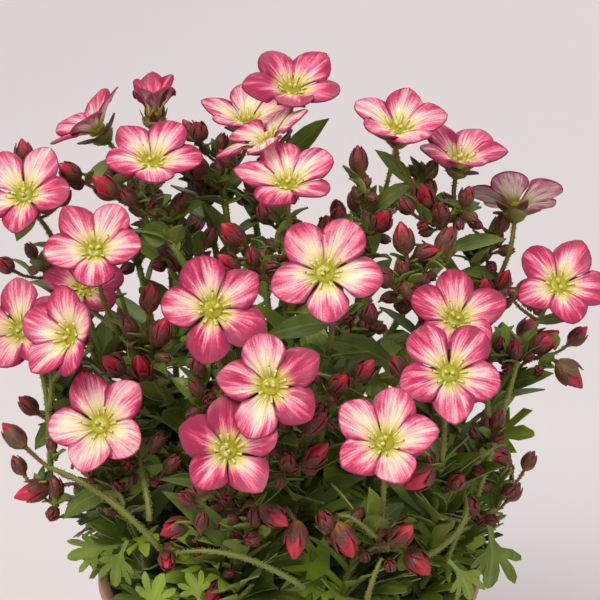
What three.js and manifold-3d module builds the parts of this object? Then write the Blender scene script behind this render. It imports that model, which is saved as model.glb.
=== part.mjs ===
// A mossy saxifrage in bloom in its round pot, in millimetres, +Z up, standing on z = 0.
// The pot, the soil, sixteen leafy clumps with their flowering stems, and every open bloom are solids.
import * as THREE from 'three';
import { mergeVertices } from 'three/addons/utils/BufferGeometryUtils.js';
import Module from 'manifold-3d';

const wasm = await Module();
wasm.setup();

// Driving sizes of the pot and its soil
const CLEARANCE = 0.3;
const POT_HEIGHT = 80;
const POT_TOP_RADIUS = 51.4;
const POT_BASE_RADIUS = 32;
const POT_WALL = 1.8;
const POT_FLOOR = 2.4;
const LIP_HEIGHT = 3.2;
const LIP_PROUD = 1.1;
const POT_SIDES = 24;
const DRAIN_HOLES = 6;
const DRAIN_RADIUS = 3;
const DRAIN_RING = 22;
const DRAIN_SIDES = 8;
const SOIL_DEPTH_BELOW_RIM = 9;
const SOIL_CROWN = 1.5;
const SOIL_TOP = POT_HEIGHT - SOIL_DEPTH_BELOW_RIM;

// Driving sizes of the plant
const SHOOT_RADIUS = 2.8;
const SHOOT_TIP_RADIUS = 1.5;
const STEM_SIDES = 5;
const THIN_SIDES = 4;
const HOLE_SIDES = 6;
const HOLE_RADIUS = (SHOOT_RADIUS + CLEARANCE) / Math.cos(Math.PI / HOLE_SIDES);
const ROOT_DEPTH = 11;
const SHOOT_ROOT = SOIL_TOP - ROOT_DEPTH;
const COLLAR_HEIGHT = 3;
const SHOOT_REACH = 30;
const SHOOT_FALL = 0.25;
const SHOOT_LEAN = 0.34;
const OUTER_SPREAD = 2;
const SIDE_STEM_START = 0.35;
const STEM_RADIUS = 1.15;
const STEM_STEPS = 4;
const PEDICEL_STEPS = 3;
const PEDICEL_RADIUS = 0.7;
const STALK_RADIUS = 0.5;
const PETAL_LENGTH = 12.2;
const PETAL_WIDTH = 10.4;
const PETAL_THICKNESS = 1.1;
const PETAL_CURL = 18;
const PETAL_ROOT = 1.2;
const HEART_RADIUS = 2.8;
const HEART_HEIGHT = 4;
const HEART_DROP = 1.2;
const CALYX_RADIUS = 3.6;
const CALYX_DEPTH = 3.2;
const CALYX_DROP = HEART_DROP + CLEARANCE;
const LEAF_LENGTH = 22;
const LEAF_THICKNESS = 1.3;
const LOW_LEAF_PITCH = 22;
const HIGH_LEAF_PITCH = 58;
const OUTER_LEAVES = 10;
const INNER_LEAVES = 5;
const OUTER_RING = 25;
const LEAF_CUP = 0.014;
const STEM_LEAF_LENGTH = 15;
const STEM_LEAF_WIDTH = 4.6;
const STEM_LEAF_THICKNESS = 1.1;
const STEM_LEAVES = 2;
const BUD_WIDTH = 0.68;
const GOLDEN_ANGLE = 137.5;

// Open blooms: name, centre, tilt of the face from straight up, heading of the tilt
// (0 is the front, 90 the right side), turn of the first petal, rise of the petals, size.
const BLOOMS = [
  ['bloom_01', [-67, -8, 189], 44, -13, 24, 24, 1],
  ['bloom_02', [-50, 12, 201], 40, -90, 10, 34, 1],
  ['bloom_03', [-36, 25, 202], 6, 0, 0, 70, 0.85],
  ['bloom_04', [-35, -2, 196], 28, 7, 36, 24, 1],
  ['bloom_05', [-48, -25, 180], 40, 0, 33, 24, 1],
  ['bloom_06', [-68, -18, 156], 48, -5, -10, 24, 1],
  ['bloom_07', [-53, -37, 162], 62, -43, -20, 30, 1],
  ['bloom_08', [-53, -6, 163], 40, 10, 0, 24, 0.8],
  ['bloom_09', [-11, 18, 201], 15, 0, 0, 28, 0.95],
  ['bloom_10', [1, 6, 213], 28, 7, -28, 24, 1],
  ['bloom_11', [-5, -4, 202], 30, -88, 20, 20, 1],
  ['bloom_12', [0, -19, 195], 20, 0, -15, 24, 1],
  ['bloom_13', [9, -45, 181], 55, 0, 32, 20, 1.05],
  ['bloom_14', [-18, -48, 173], 61, 13, -15, 20, 1.05],
  ['bloom_15', [-4, -60, 158], 60, 0, -15, 22, 1],
  ['bloom_16', [-46, -44, 141], 51, -9, -28, 22, 1.05],
  ['bloom_17', [-14, -66, 144], 50, 0, 0, 24, 1],
  ['bloom_18', [28, 0, 204], 20, 11, 20, 26, 1],
  ['bloom_19', [44, 2, 195], 15, 35, -15, 30, 1],
  ['bloom_20', [60, 12, 180], 38, 172, 10, 20, 1.05],
  ['bloom_21', [70, -6, 164], 47, 11, 36, 24, 1],
  ['bloom_22', [42, -26, 162], 34, 0, 0, 24, 1],
  ['bloom_23', [39, -50, 157], 48, 0, 34, 22, 1.02],
  ['bloom_24', [23, -64, 145], 40, 0, 15, 28, 1.05],
  ['bloom_25', [-54, 38, 157], 50, -130, 12, 24, 1],
  ['bloom_26', [-38, 38, 181], 42, -160, 30, 24, 0.95],
  ['bloom_27', [-21, 50, 138], 58, -165, -8, 22, 1],
  ['bloom_28', [10, 50, 148], 55, 175, 20, 24, 1],
  ['bloom_29', [30, 34, 194], 40, 160, 0, 26, 0.9],
  ['bloom_30', [46, 44, 128], 60, 140, 16, 22, 1],
  ['bloom_31', [-5, 60, 113], 65, 180, -20, 22, 1],
];

// Clumps: name, where the shoot stands in the soil, and its flowering stems. Each stem has its fork,
// the blooms that it carries, and its buds as centre and length.
const CLUMPS = [
  ['clump_01', [-10.5, -32], [
    [[-6, -50, 131], ['bloom_15', 'bloom_17'], [
      [7, -56, 147, 8], [7, -54, 138, 9]]],
    [[-14, -54, 112], [], [
      [-3, -62, 125, 8.5], [2, -63, 119, 9.5], [-28, -54, 118, 8],
      [-30, -52, 108, 7], [-19, -51, 99, 7.5]]],
  ]],
  ['clump_02', [10.5, -32], [
    [[21, -54, 117], ['bloom_24'], [
      [14, -61, 118, 9.5], [28, -59, 119, 9], [32, -57, 110, 9]]],
  ]],
  ['clump_03', [-27.5, -20], [
    [[-43, -38, 117], ['bloom_16'], [
      [-71, -22, 129, 9], [-66, -29, 116, 10]]],
  ]],
  ['clump_04', [27.5, -20], [
    [[38, -44, 130], ['bloom_23'], [[32, -51, 130, 10], [27, -42, 156, 7]]],
    [[54, -26, 110], [], [[54, -22, 123, 9]]],
  ]],
  ['clump_05', [-34, 0], [
    [[-60, -20, 140], ['bloom_06', 'bloom_07'], [[-68, -14, 134, 7]]],
    [[-61, 8, 169], ['bloom_01'], [[-68, 1, 198, 8]]],
  ]],
  ['clump_06', [34, 0], [
    [[60, -7, 144], ['bloom_21'], [
      [64, -2, 162, 10], [67, -6, 149, 10], [76, -5, 150, 7], [74, -8, 140, 10]]],
  ]],
  ['clump_07', [-27.5, 20], [
    [[-44, 31, 136], ['bloom_25'], [[-62, 20, 140, 8], [-59, 30, 129, 7]]],
    [[-33, 33, 160], ['bloom_26'], [[-26, 44, 166, 8], [-46, 26, 170, 7]]],
  ]],
  ['clump_08', [27.5, 20], [
    [[52, 11, 152], ['bloom_20'], [[52, 4, 160, 8], [57, 5, 162, 7], [66, 22, 142, 8]]],
    [[40, 34, 106], ['bloom_30'], [[58, 32, 112, 8], [38, 54, 112, 7]]],
  ]],
  ['clump_09', [-10.5, 32], [
    [[-17, 42, 118], ['bloom_27'], [[-30, 52, 126, 8], [-8, 52, 130, 7]]],
    [[-6, 48, 96], ['bloom_31'], [[-20, 62, 102, 8], [8, 60, 104, 7]]],
  ]],
  ['clump_10', [10.5, 32], [
    [[11, 40, 128], ['bloom_28'], [[22, 54, 136, 8]]],
    [[25, 33, 172], ['bloom_29'], [[34, 42, 176, 8]]],
  ]],
  ['clump_11', [0, -16], [
    [[10, -34, 156], ['bloom_13'], [[13, -43, 152, 9], [19, -42, 155, 8]]],
    [[-15, -34, 148], ['bloom_14'], []],
  ]],
  ['clump_12', [-15, -5], [
    [[-43, -15, 154], ['bloom_05', 'bloom_08'], []],
    [[-37, -23, 149], [], [
      [-35, -20, 166, 8], [-32, -26, 159, 9], [-44, -31, 152, 9], [-37, -29, 151, 9]]],
  ]],
  ['clump_13', [15, -5], [
    [[34, -17, 154], ['bloom_22'], [
      [29, -17, 181, 9], [35, -17, 177, 7], [40, -13, 179, 8], [31, -21, 167, 8]]],
    [[21, -3, 172], [], [[18, -2, 197, 8], [24, -12, 184, 8.5]]],
  ]],
  ['clump_14', [-9, 13], [
    [[-38, 15, 179], ['bloom_02', 'bloom_03'], [[-57, 4, 192, 8]]],
    [[-17, 10, 183], ['bloom_09'], [
      [-26, 12, 201, 7], [-23, 4, 203, 7], [-24, 3, 194, 9]]],
  ]],
  ['clump_15', [9, 13], [
    [[41, 2, 168], ['bloom_18', 'bloom_19'], [
      [35, -4, 188, 9], [39, -5, 184, 7]]],
  ]],
  ['clump_16', [0, 0], [
    [[-1, 2, 179], ['bloom_10', 'bloom_11'], [[-6, 0, 182, 7]]],
    [[1, -13, 172], ['bloom_12'], [[-14, -20, 183, 8.5], [-15, -22, 176, 8]]],
    [[-31, -3, 176], ['bloom_04'], [[-47, -6, 191, 9]]],
  ]],
];

const radians = THREE.MathUtils.degToRad;
const UP = new THREE.Vector3(0, 0, 1);

// Seeded draws, the same on every run
let seed = 20404;
function draw(low, high) {
  seed = (seed * 16807) % 2147483647;
  return low + (high - low) * (seed / 2147483647);
}

// Closed shapes and what joins them
function toSolid(geometry) {
  const bare = geometry.clone();
  bare.deleteAttribute('normal');
  bare.deleteAttribute('uv');
  const merged = mergeVertices(bare, 1e-4);
  const points = new Float32Array(merged.attributes.position.array);
  const corners = Array.from(merged.index.array);
  const triangles = [];
  let volume = 0;
  const vertex = (i) => new THREE.Vector3(points[3 * i], points[3 * i + 1], points[3 * i + 2]);
  for (let i = 0; i < corners.length; i += 3) {
    const [a, b, c] = corners.slice(i, i + 3);
    if (a === b || b === c || c === a) continue;
    triangles.push([a, b, c]);
    volume += vertex(a).dot(vertex(b).cross(vertex(c)));
  }
  if (volume < 0) triangles.forEach((triangle) => triangle.reverse());
  return new wasm.Manifold(new wasm.Mesh({
    numProp: 3,
    vertProperties: points,
    triVerts: new Uint32Array(triangles.flat()),
  }));
}

function join(solids) {
  return solids.reduce((whole, solid) => whole.add(solid));
}

function meshOf(solid, name, material) {
  const { vertProperties, triVerts } = solid.getMesh();
  const geometry = new THREE.BufferGeometry();
  geometry.setAttribute('position', new THREE.BufferAttribute(new Float32Array(vertProperties), 3));
  geometry.setIndex(new THREE.BufferAttribute(new Uint32Array(triVerts), 1));
  geometry.computeVertexNormals();
  const mesh = new THREE.Mesh(geometry, material);
  mesh.name = name;
  return mesh;
}

// Moves every vertex of a geometry by a rule
function remap(geometry, rule) {
  const position = geometry.attributes.position;
  for (let i = 0; i < position.count; i += 1) {
    const moved = rule(position.getX(i), position.getY(i), position.getZ(i));
    position.setXYZ(i, moved.x, moved.y, moved.z);
  }
  return geometry;
}

// A round bar through a list of points, with a radius at each
function bar(points, radii, sides) {
  const last = points.length - 1;
  const tangents = points.map((point, k) => {
    const before = points[Math.max(0, k - 1)];
    const after = points[Math.min(last, k + 1)];
    return after.clone().sub(before).normalize();
  });
  const normals = [];
  let normal = new THREE.Vector3(0.12, 1, 0.07);
  for (const tangent of tangents) {
    normal = normal.clone().addScaledVector(tangent, -normal.dot(tangent)).normalize();
    normals.push(normal);
  }
  const geometry = new THREE.CylinderGeometry(1, 1, 1, sides, last);
  return toSolid(remap(geometry, (x, y, z) => {
    const k = Math.round((y + 0.5) * last);
    const across = tangents[k].clone().cross(normals[k]);
    return points[k].clone()
      .addScaledVector(normals[k], x * radii[k])
      .addScaledVector(across, -z * radii[k]);
  }));
}

function evenly(from, to, count) {
  return Array.from({ length: count }, (unused, i) => from + (to - from) * i / (count - 1));
}

// The point at a share of the way along a row of points
function pointAlong(points, share) {
  const steps = points.slice(1).map((point, i) => point.distanceTo(points[i]));
  let left = share * steps.reduce((sum, step) => sum + step);
  let i = 0;
  while (i < steps.length - 1 && left > steps[i]) {
    left -= steps[i];
    i += 1;
  }
  return points[i].clone().lerp(points[i + 1], left / steps[i]);
}

// A closed blade, thin at its edges, ribbed on both faces: rows of [along, half width, half thickness]
// from root to tip, set in place by a rule of (across, along, lift)
function blade(rows, rule) {
  const last = rows.length - 1;
  const geometry = new THREE.SphereGeometry(1, 4, last);
  return toSolid(remap(geometry, (x, y, z) => {
    const ring = Math.round(Math.acos(y) * last / Math.PI);
    const reach = Math.sin(ring * Math.PI / last);
    const [along, halfWidth, halfThickness] = rows[last - ring];
    const spread = reach > 0.01 ? 1 / reach : 0;
    return rule(x * spread * halfWidth, along, z * spread * halfThickness);
  }));
}

// An arched midline: how far out and up it has come after a length, and its pitch there
function arch(length, pitch, droop, along) {
  const start = radians(pitch);
  const turn = radians(droop);
  const here = start - turn * along / length;
  const bend = length / turn;
  return {
    out: bend * (Math.sin(start) - Math.sin(here)),
    up: bend * (Math.cos(here) - Math.cos(start)),
    pitch: here,
  };
}

// A point of an arched leaf from its root, heading, pitch, droop, roll and length
function leafPoint(leaf, across, along, lift) {
  const { out, up, pitch } = arch(leaf.length, leaf.pitch, leaf.droop, along);
  const heading = new THREE.Vector3(Math.cos(leaf.heading), Math.sin(leaf.heading), 0);
  const side = new THREE.Vector3(-Math.sin(leaf.heading), Math.cos(leaf.heading), 0);
  const face = heading.clone().multiplyScalar(-Math.sin(pitch)).addScaledVector(UP, Math.cos(pitch));
  const turnedSide = side.clone().applyAxisAngle(side.clone().cross(face), leaf.roll);
  const turnedFace = face.clone().applyAxisAngle(side.clone().cross(face), leaf.roll);
  return new THREE.Vector3(...leaf.root)
    .addScaledVector(heading, out)
    .addScaledVector(UP, up)
    .addScaledVector(turnedSide, across)
    .addScaledVector(turnedFace, lift + LEAF_CUP * across * across);
}

// Frame of a bloom: its face direction and two directions in the plane of the face
function bloomFrame([, centre, tilt, heading]) {
  const t = radians(tilt);
  const h = radians(heading);
  const face = new THREE.Vector3(Math.sin(t) * Math.sin(h), -Math.sin(t) * Math.cos(h), Math.cos(t));
  const right = new THREE.Vector3(Math.cos(h), Math.sin(h), 0);
  const top = face.clone().cross(right);
  return { centre: new THREE.Vector3(...centre), face, right, top };
}

// The five petals of a bloom, each a little different in length, width and rise
function petalsOf(bloom) {
  const [, , , , spin, rise, size] = bloom;
  const petals = [];
  for (let k = 0; k < 5; k += 1) {
    petals.push({
      angle: radians(spin + 72 * k + draw(-3, 3)),
      length: size * PETAL_LENGTH * draw(0.95, 1.05),
      width: size * PETAL_WIDTH * draw(0.94, 1.04),
      pitch: rise + PETAL_CURL / 2 + draw(-4, 4),
      skew: radians(draw(-7, 7)),
    });
  }
  return petals;
}

function petalPoint(frame, petal, across, along, lift) {
  const { out, up, pitch } = arch(petal.length, petal.pitch, PETAL_CURL, along);
  const ahead = frame.top.clone()
    .multiplyScalar(Math.cos(petal.angle))
    .addScaledVector(frame.right, Math.sin(petal.angle));
  const side = frame.face.clone().cross(ahead);
  const outward = PETAL_ROOT + out - lift * Math.sin(pitch);
  const upward = up + lift * Math.cos(pitch) + across * Math.sin(petal.skew);
  return frame.centre.clone()
    .addScaledVector(ahead, outward)
    .addScaledVector(side, across)
    .addScaledVector(frame.face, upward);
}

// Sets a shape that stands on +Y on the face of a bloom
function placed(frame, geometry, lift) {
  const third = frame.right.clone().cross(frame.face);
  const basis = new THREE.Matrix4().makeBasis(frame.right, frame.face, third);
  basis.setPosition(frame.centre.clone().addScaledVector(frame.face, lift));
  return toSolid(geometry.applyMatrix4(basis));
}

function bloomSolid(frame, petals) {
  const solids = [];
  const heart = new THREE.CylinderGeometry(0, HEART_RADIUS, HEART_HEIGHT, 5, 1);
  heart.rotateY(Math.PI * 1.2 - petals[0].angle);
  solids.push(placed(frame, heart, HEART_HEIGHT / 2 - HEART_DROP));
  for (const petal of petals) {
    const half = petal.width / 2;
    const thick = PETAL_THICKNESS / 2;
    const rows = [[0, 0, 0], [0.42, 0.8, 1], [0.84, 0.86, 0.8], [1, 0, 0]];
    const sized = rows.map(([s, w, h]) => [s * petal.length, w * half, h * thick]);
    solids.push(blade(sized, (across, along, lift) => petalPoint(frame, petal, across, along, lift)));
  }
  return join(solids);
}

// Room already taken: small spheres in a grid of cells, by owner
const LEAF_GAP = 0.55;
const LIP_ROOM = 3;
const OWN_OVERLAP = 0.8;
const CELL = 6;
// On its left side the front of the pot's edge stays bare: no leaf lies below this slope there
const BARE_LEFT = -38;
const BARE_BACK = 15;
const BARE_TOP = 80;
const BARE_SLOPE = 0.36;
const taken = new Map();

function cellKey(x, y, z) {
  return `${Math.floor(x / CELL)},${Math.floor(y / CELL)},${Math.floor(z / CELL)}`;
}

function take(spheres, owner) {
  for (const { point, radius } of spheres) {
    const key = cellKey(point.x, point.y, point.z);
    if (!taken.has(key)) taken.set(key, []);
    taken.get(key).push({ point, radius, owner });
  }
}

function meetsPlant({ point, radius }, owner) {
  for (let i = -1; i <= 1; i += 1) {
    for (let j = -1; j <= 1; j += 1) {
      for (let k = -1; k <= 1; k += 1) {
        const near = taken.get(cellKey(point.x + i * CELL, point.y + j * CELL, point.z + k * CELL)) || [];
        for (const other of near) {
          const gap = other.owner === owner ? -OWN_OVERLAP : LEAF_GAP;
          if (point.distanceTo(other.point) < radius + other.radius + gap) return true;
        }
      }
    }
  }
  return false;
}

function meetsPot({ point, radius }) {
  const fromAxis = Math.hypot(point.x, point.y);
  const lipMiddle = POT_TOP_RADIUS - POT_WALL / 2;
  const room = radius + LEAF_GAP;
  const onLip = point.z < POT_HEIGHT + room && Math.abs(fromAxis - lipMiddle) < radius + LIP_ROOM;
  const inSoil = point.z < SOIL_TOP + SOIL_CROWN + radius && fromAxis < POT_TOP_RADIUS;
  const isOutside = fromAxis > lipMiddle && point.z < POT_HEIGHT;
  const inSide = isOutside && fromAxis < POT_TOP_RADIUS + LIP_PROUD + room;
  const isBare = point.x < BARE_LEFT && point.y < BARE_BACK && point.z + BARE_SLOPE * point.y < BARE_TOP;
  return onLip || inSoil || inSide || isBare;
}

// A shoot stands upright in the soil, then leans away from the middle of the pot
function shootPoints([x, y]) {
  const top = SOIL_TOP + SHOOT_REACH - SHOOT_FALL * Math.hypot(x, y);
  const lean = 1 + SHOOT_LEAN;
  return [
    new THREE.Vector3(x, y, SHOOT_ROOT),
    new THREE.Vector3(x, y, SOIL_TOP + COLLAR_HEIGHT),
    new THREE.Vector3(x * lean, y * lean, top),
  ];
}

// Points of a stem. The first one of a clump goes on from the shoot's top, the others leave its side
function stemPoints(foot, fork, isFirst) {
  const [, collar, top] = shootPoints(foot);
  const start = isFirst ? top : collar.lerp(top, SIDE_STEM_START);
  const end = new THREE.Vector3(...fork);
  const bend = start.clone().add(end.clone().sub(start).multiply(new THREE.Vector3(0.3, 0.3, 0.62)));
  return new THREE.QuadraticBezierCurve3(start, bend, end).getSpacedPoints(STEM_STEPS);
}

// Points of the pedicel that goes on from a stem to a bloom
function pedicelPoints(stem, frame) {
  const [before, start] = stem.slice(-2);
  const end = frame.centre.clone().addScaledVector(frame.face, -CALYX_DROP - CALYX_DEPTH);
  const reach = start.distanceTo(end) * 0.4;
  const first = start.clone().addScaledVector(start.clone().sub(before).normalize(), reach);
  const second = end.clone().addScaledVector(frame.face, -reach);
  return new THREE.CubicBezierCurve3(start, first, second, end).getSpacedPoints(PEDICEL_STEPS);
}

function spheresAlong(points, radius, spacing, from = 0) {
  const reach = points.slice(1).reduce((sum, point, i) => sum + point.distanceTo(points[i]), 0);
  const count = Math.max(2, Math.ceil(reach / spacing));
  const spheres = [];
  for (let i = 0; i <= count; i += 1) {
    if (i / count >= from) spheres.push({ point: pointAlong(points, i / count), radius });
  }
  return spheres;
}

// Where a bud's stalk leaves the spray: the nearest point that lies below the bud
function branchPoint(points, bud) {
  let best = points[0];
  let least = Infinity;
  for (const point of points) {
    const cost = point.distanceTo(bud) + 1.6 * Math.max(0, point.z - (bud.z - 7));
    if (cost < least) {
      least = cost;
      best = point;
    }
  }
  return best;
}

function layBud(points, [x, y, z, length]) {
  const centre = new THREE.Vector3(x, y, z);
  const start = branchPoint(points, centre);
  const axis = centre.clone().sub(start).normalize().addScaledVector(UP, 0.5).normalize();
  const base = centre.clone().addScaledVector(axis, -length / 2);
  return { centre, axis, base, length, stalk: [start, base] };
}

function budSolid(bud) {
  const half = bud.length * BUD_WIDTH / 2;
  const at = (share) => bud.base.clone().addScaledVector(bud.axis, share * bud.length);
  return bar(
    [...bud.stalk, at(0.3), at(0.62), at(1)],
    [STALK_RADIUS, STALK_RADIUS, half, half * 0.9, 0],
    THIN_SIDES,
  );
}

// Half the outline of a basal leaf of full length: a stalk that widens into three pointed lobes
const HALF_LEAF = [[1, 9], [5.6, 12.2], [7.4, 17], [1.8, 13.8], [2.3, 17.8]];
const LEAF_OUTLINE = [
  [0, 0], ...HALF_LEAF, [0, LEAF_LENGTH], ...HALF_LEAF.map(([across, along]) => [-across, along]).reverse(),
];
const PALM = 12.6;

// Small spheres that fill a basal leaf of full length: across, along, radius
const LOBE_SPHERES = [
  [0, 3, 0.7], [0, 5, 0.8], [0, 7.5, 0.9], [0, 10, 1.1],
  [0, 12.5, 1.6], [-2.8, 12.4, 1.4], [2.8, 12.4, 1.4],
  [-5, 14, 1.2], [5, 14, 1.2], [-6.6, 15.8, 0.8], [6.6, 15.8, 0.8],
  [0, 15.5, 1.6], [0, 18, 1.4], [0, 20.4, 0.9],
];

// A leaf is thickest in the palm of its lobes and thin at its edge
function leafSolid(leaf) {
  const scale = leaf.length / LEAF_LENGTH;
  const count = LEAF_OUTLINE.length;
  const geometry = new THREE.SphereGeometry(1, count, 2);
  return toSolid(remap(geometry, (x, y, z) => {
    if (Math.abs(y) > 0.5) return leafPoint(leaf, 0, PALM * scale, Math.sign(y) * LEAF_THICKNESS / 2);
    const k = Math.round(Math.atan2(z, -x) * count / (2 * Math.PI) + count) % count;
    const [across, along] = LEAF_OUTLINE[k];
    return leafPoint(leaf, across * scale, along * scale, 0);
  }));
}

function leafSpheres(leaf) {
  const scale = leaf.length / LEAF_LENGTH;
  return LOBE_SPHERES.map(([across, along, radius]) => ({
    point: leafPoint(leaf, across * scale, along * scale, 0),
    radius: radius * scale,
  }));
}

function stemLeafSolid(leaf) {
  const half = leaf.width / 2;
  const thick = STEM_LEAF_THICKNESS / 2;
  const rows = [[0, 0, 0], [0.34, 0.95, 1], [0.72, 0.8, 0.8], [1, 0, 0]];
  const sized = rows.map(([s, w, h]) => [s * leaf.length, w * half, h * thick]);
  return blade(sized, (across, along, lift) => leafPoint(leaf, across, along, lift));
}

function stemLeafSpheres(leaf) {
  return [0.25, 0.42, 0.6, 0.78, 0.94].map((share) => ({
    point: leafPoint(leaf, 0, share * leaf.length, 0),
    radius: leaf.width * (share > 0.7 ? 0.35 : 0.5),
  }));
}

// Draws a leaf again until it is clear of everything, or gives up
function findRoom(propose, spheresOf, owner, tries) {
  for (let i = 0; i < tries; i += 1) {
    const leaf = propose();
    const spheres = spheresOf(leaf);
    if (!spheres.some((sphere) => meetsPot(sphere) || meetsPlant(sphere, owner))) {
      take(spheres, owner);
      return leaf;
    }
  }
  return null;
}

// Lay out the blooms
const bloomLayouts = new Map();
for (const bloom of BLOOMS) {
  const frame = bloomFrame(bloom);
  const petals = petalsOf(bloom);
  bloomLayouts.set(bloom[0], { frame, petals });
  for (const petal of petals) {
    const spots = [[0, 0.3, 2], [-0.24, 0.58, 2.6], [0.24, 0.58, 2.6], [0, 0.86, 2.8]];
    take(spots.map(([across, along, radius]) => ({
      point: petalPoint(frame, petal, across * petal.width, along * petal.length, 0), radius,
    })), bloom[0]);
  }
}

// Keep the room of every shoot
for (const [name, foot] of CLUMPS) {
  take(spheresAlong(shootPoints(foot).slice(1), SHOOT_RADIUS * 0.8, 2), name);
}

// Lay out every clump's stems, pedicels and buds
const clumpLayouts = CLUMPS.map(([name, foot, stems]) => {
  const layout = { name, foot, stems: [], leaves: [], stemLeaves: [] };
  stems.forEach(([fork, blooms, buds], index) => {
    const stem = stemPoints(foot, fork, index === 0);
    const pedicels = blooms.map((bloom) => pedicelPoints(stem, bloomLayouts.get(bloom).frame));
    const points = spheresAlong(stem, 0, 3, 0.6).map(({ point }) => point);
    for (const pedicel of pedicels) {
      points.push(...spheresAlong(pedicel, 0, 3).map(({ point }) => point).slice(0, -3));
    }
    const laid = buds.map((row) => {
      const bud = layBud(points, row);
      points.push(...spheresAlong(bud.stalk, 0, 3).map(({ point }) => point).slice(1, -1));
      return bud;
    });
    layout.stems.push({ stem, pedicels, blooms, buds: laid });
    take(spheresAlong(stem, STEM_RADIUS, 2.2, 0.12), name);
    for (const pedicel of pedicels) take(spheresAlong(pedicel, PEDICEL_RADIUS, 2), name);
    for (const bud of laid) {
      take(spheresAlong(bud.stalk, PEDICEL_RADIUS, 2), name);
      take([{ point: bud.centre, radius: bud.length * 0.4 }], name);
    }
  });
  return layout;
});

// Stem leaves: lance-shaped, one above the other round each stem
for (const layout of clumpLayouts) {
  for (const [index, { stem }] of layout.stems.entries()) {
    const start = draw(0, 360);
    for (let k = 0; k < (index === 0 ? STEM_LEAVES : 1); k += 1) {
      const share = 0.45 + 0.5 * k / STEM_LEAVES;
      const leaf = findRoom(() => ({
        root: pointAlong(stem, share + draw(-0.06, 0.06)).toArray(),
        heading: radians(start + GOLDEN_ANGLE * k + draw(-60, 60)),
        pitch: draw(35, 65),
        droop: draw(15, 40),
        roll: radians(draw(-15, 15)),
        length: STEM_LEAF_LENGTH * draw(0.8, 1.2),
        width: STEM_LEAF_WIDTH * draw(0.9, 1.1),
      }), stemLeafSpheres, layout.name, 16);
      if (leaf) layout.stemLeaves.push(leaf);
    }
  }
}

// Basal leaves: spaced up each shoot, the lowest spread widest. At the pot's edge they face outwards
for (const layout of clumpLayouts) {
  const [, collar, top] = shootPoints(layout.foot);
  const [x, y] = layout.foot;
  const isOuter = Math.hypot(x, y) > OUTER_RING;
  const outward = Math.atan2(y, x);
  const start = radians(draw(0, 360));
  const count = isOuter ? OUTER_LEAVES : INNER_LEAVES;
  for (let k = 0; k < count; k += 1) {
    const share = k / (count - 1);
    const golden = radians(GOLDEN_ANGLE * k);
    const heading = isOuter ? outward + OUTER_SPREAD * Math.sin(golden) : start + golden;
    const leaf = findRoom(() => ({
      root: collar.clone().lerp(top, 0.08 + 0.88 * share).toArray(),
      heading: heading + radians(draw(-35, 35)),
      pitch: LOW_LEAF_PITCH + (HIGH_LEAF_PITCH - LOW_LEAF_PITCH) * share + draw(-14, 14),
      droop: draw(20, 60),
      roll: radians(draw(-20, 20)),
      length: LEAF_LENGTH * draw(0.95, 1.35),
    }), leafSpheres, layout.name, 60);
    if (leaf) layout.leaves.push(leaf);
  }
}

// Materials
const paint = (color, roughness) => new THREE.MeshStandardMaterial({ color, roughness, metalness: 0 });
const terracotta = paint('#c08e78', 0.7);
const peat = paint('#2e231b', 0.95);
const leafGreen = paint('#4f7a1e', 0.55);
const petalPink = paint('#e06a93', 0.5);

function lathe(profile) {
  const points = profile.map(([radius, z]) => new THREE.Vector2(radius, z));
  return toSolid(new THREE.LatheGeometry(points, POT_SIDES).rotateX(Math.PI / 2));
}

function standingBar(x, y, low, high, radius, sides) {
  const geometry = new THREE.CylinderGeometry(radius, radius, high - low, sides, 1);
  return toSolid(geometry.rotateX(Math.PI / 2).translate(x, y, (low + high) / 2));
}

function outsideRadius(z) {
  return POT_BASE_RADIUS + (POT_TOP_RADIUS - POT_BASE_RADIUS) * z / POT_HEIGHT;
}

function potSolid() {
  const lipFoot = POT_HEIGHT - LIP_HEIGHT;
  const inside = (z) => outsideRadius(z) - POT_WALL;
  let pot = lathe([
    [0, 0], [POT_BASE_RADIUS, 0], [outsideRadius(lipFoot), lipFoot],
    [POT_TOP_RADIUS + LIP_PROUD, lipFoot + 0.8], [POT_TOP_RADIUS + LIP_PROUD, POT_HEIGHT - 0.6],
    [POT_TOP_RADIUS + 0.4, POT_HEIGHT], [inside(POT_HEIGHT), POT_HEIGHT], [inside(POT_FLOOR), POT_FLOOR],
    [0, POT_FLOOR],
  ]);
  for (let k = 0; k < DRAIN_HOLES; k += 1) {
    const turn = 2 * Math.PI * k / DRAIN_HOLES;
    const [x, y] = [DRAIN_RING * Math.cos(turn), DRAIN_RING * Math.sin(turn)];
    pot = pot.subtract(standingBar(x, y, -1, POT_FLOOR + 1, DRAIN_RADIUS, DRAIN_SIDES));
  }
  return pot;
}

function soilSolid() {
  const radius = (z) => outsideRadius(z) - POT_WALL - CLEARANCE;
  const foot = POT_FLOOR + CLEARANCE;
  let soil = lathe([
    [0, foot], [radius(foot), foot], [radius(SOIL_TOP), SOIL_TOP], [0, SOIL_TOP + SOIL_CROWN],
  ]);
  for (const [, [x, y]] of CLUMPS) {
    const floor = SHOOT_ROOT - CLEARANCE;
    soil = soil.subtract(standingBar(x, y, floor, SOIL_TOP + COLLAR_HEIGHT, HOLE_RADIUS, HOLE_SIDES));
  }
  return soil;
}

// The top of a bloom's calyx, which its stalk widens into
function calyxTop(bloom) {
  const { frame } = bloomLayouts.get(bloom);
  return frame.centre.clone().addScaledVector(frame.face, -CALYX_DROP);
}

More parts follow.
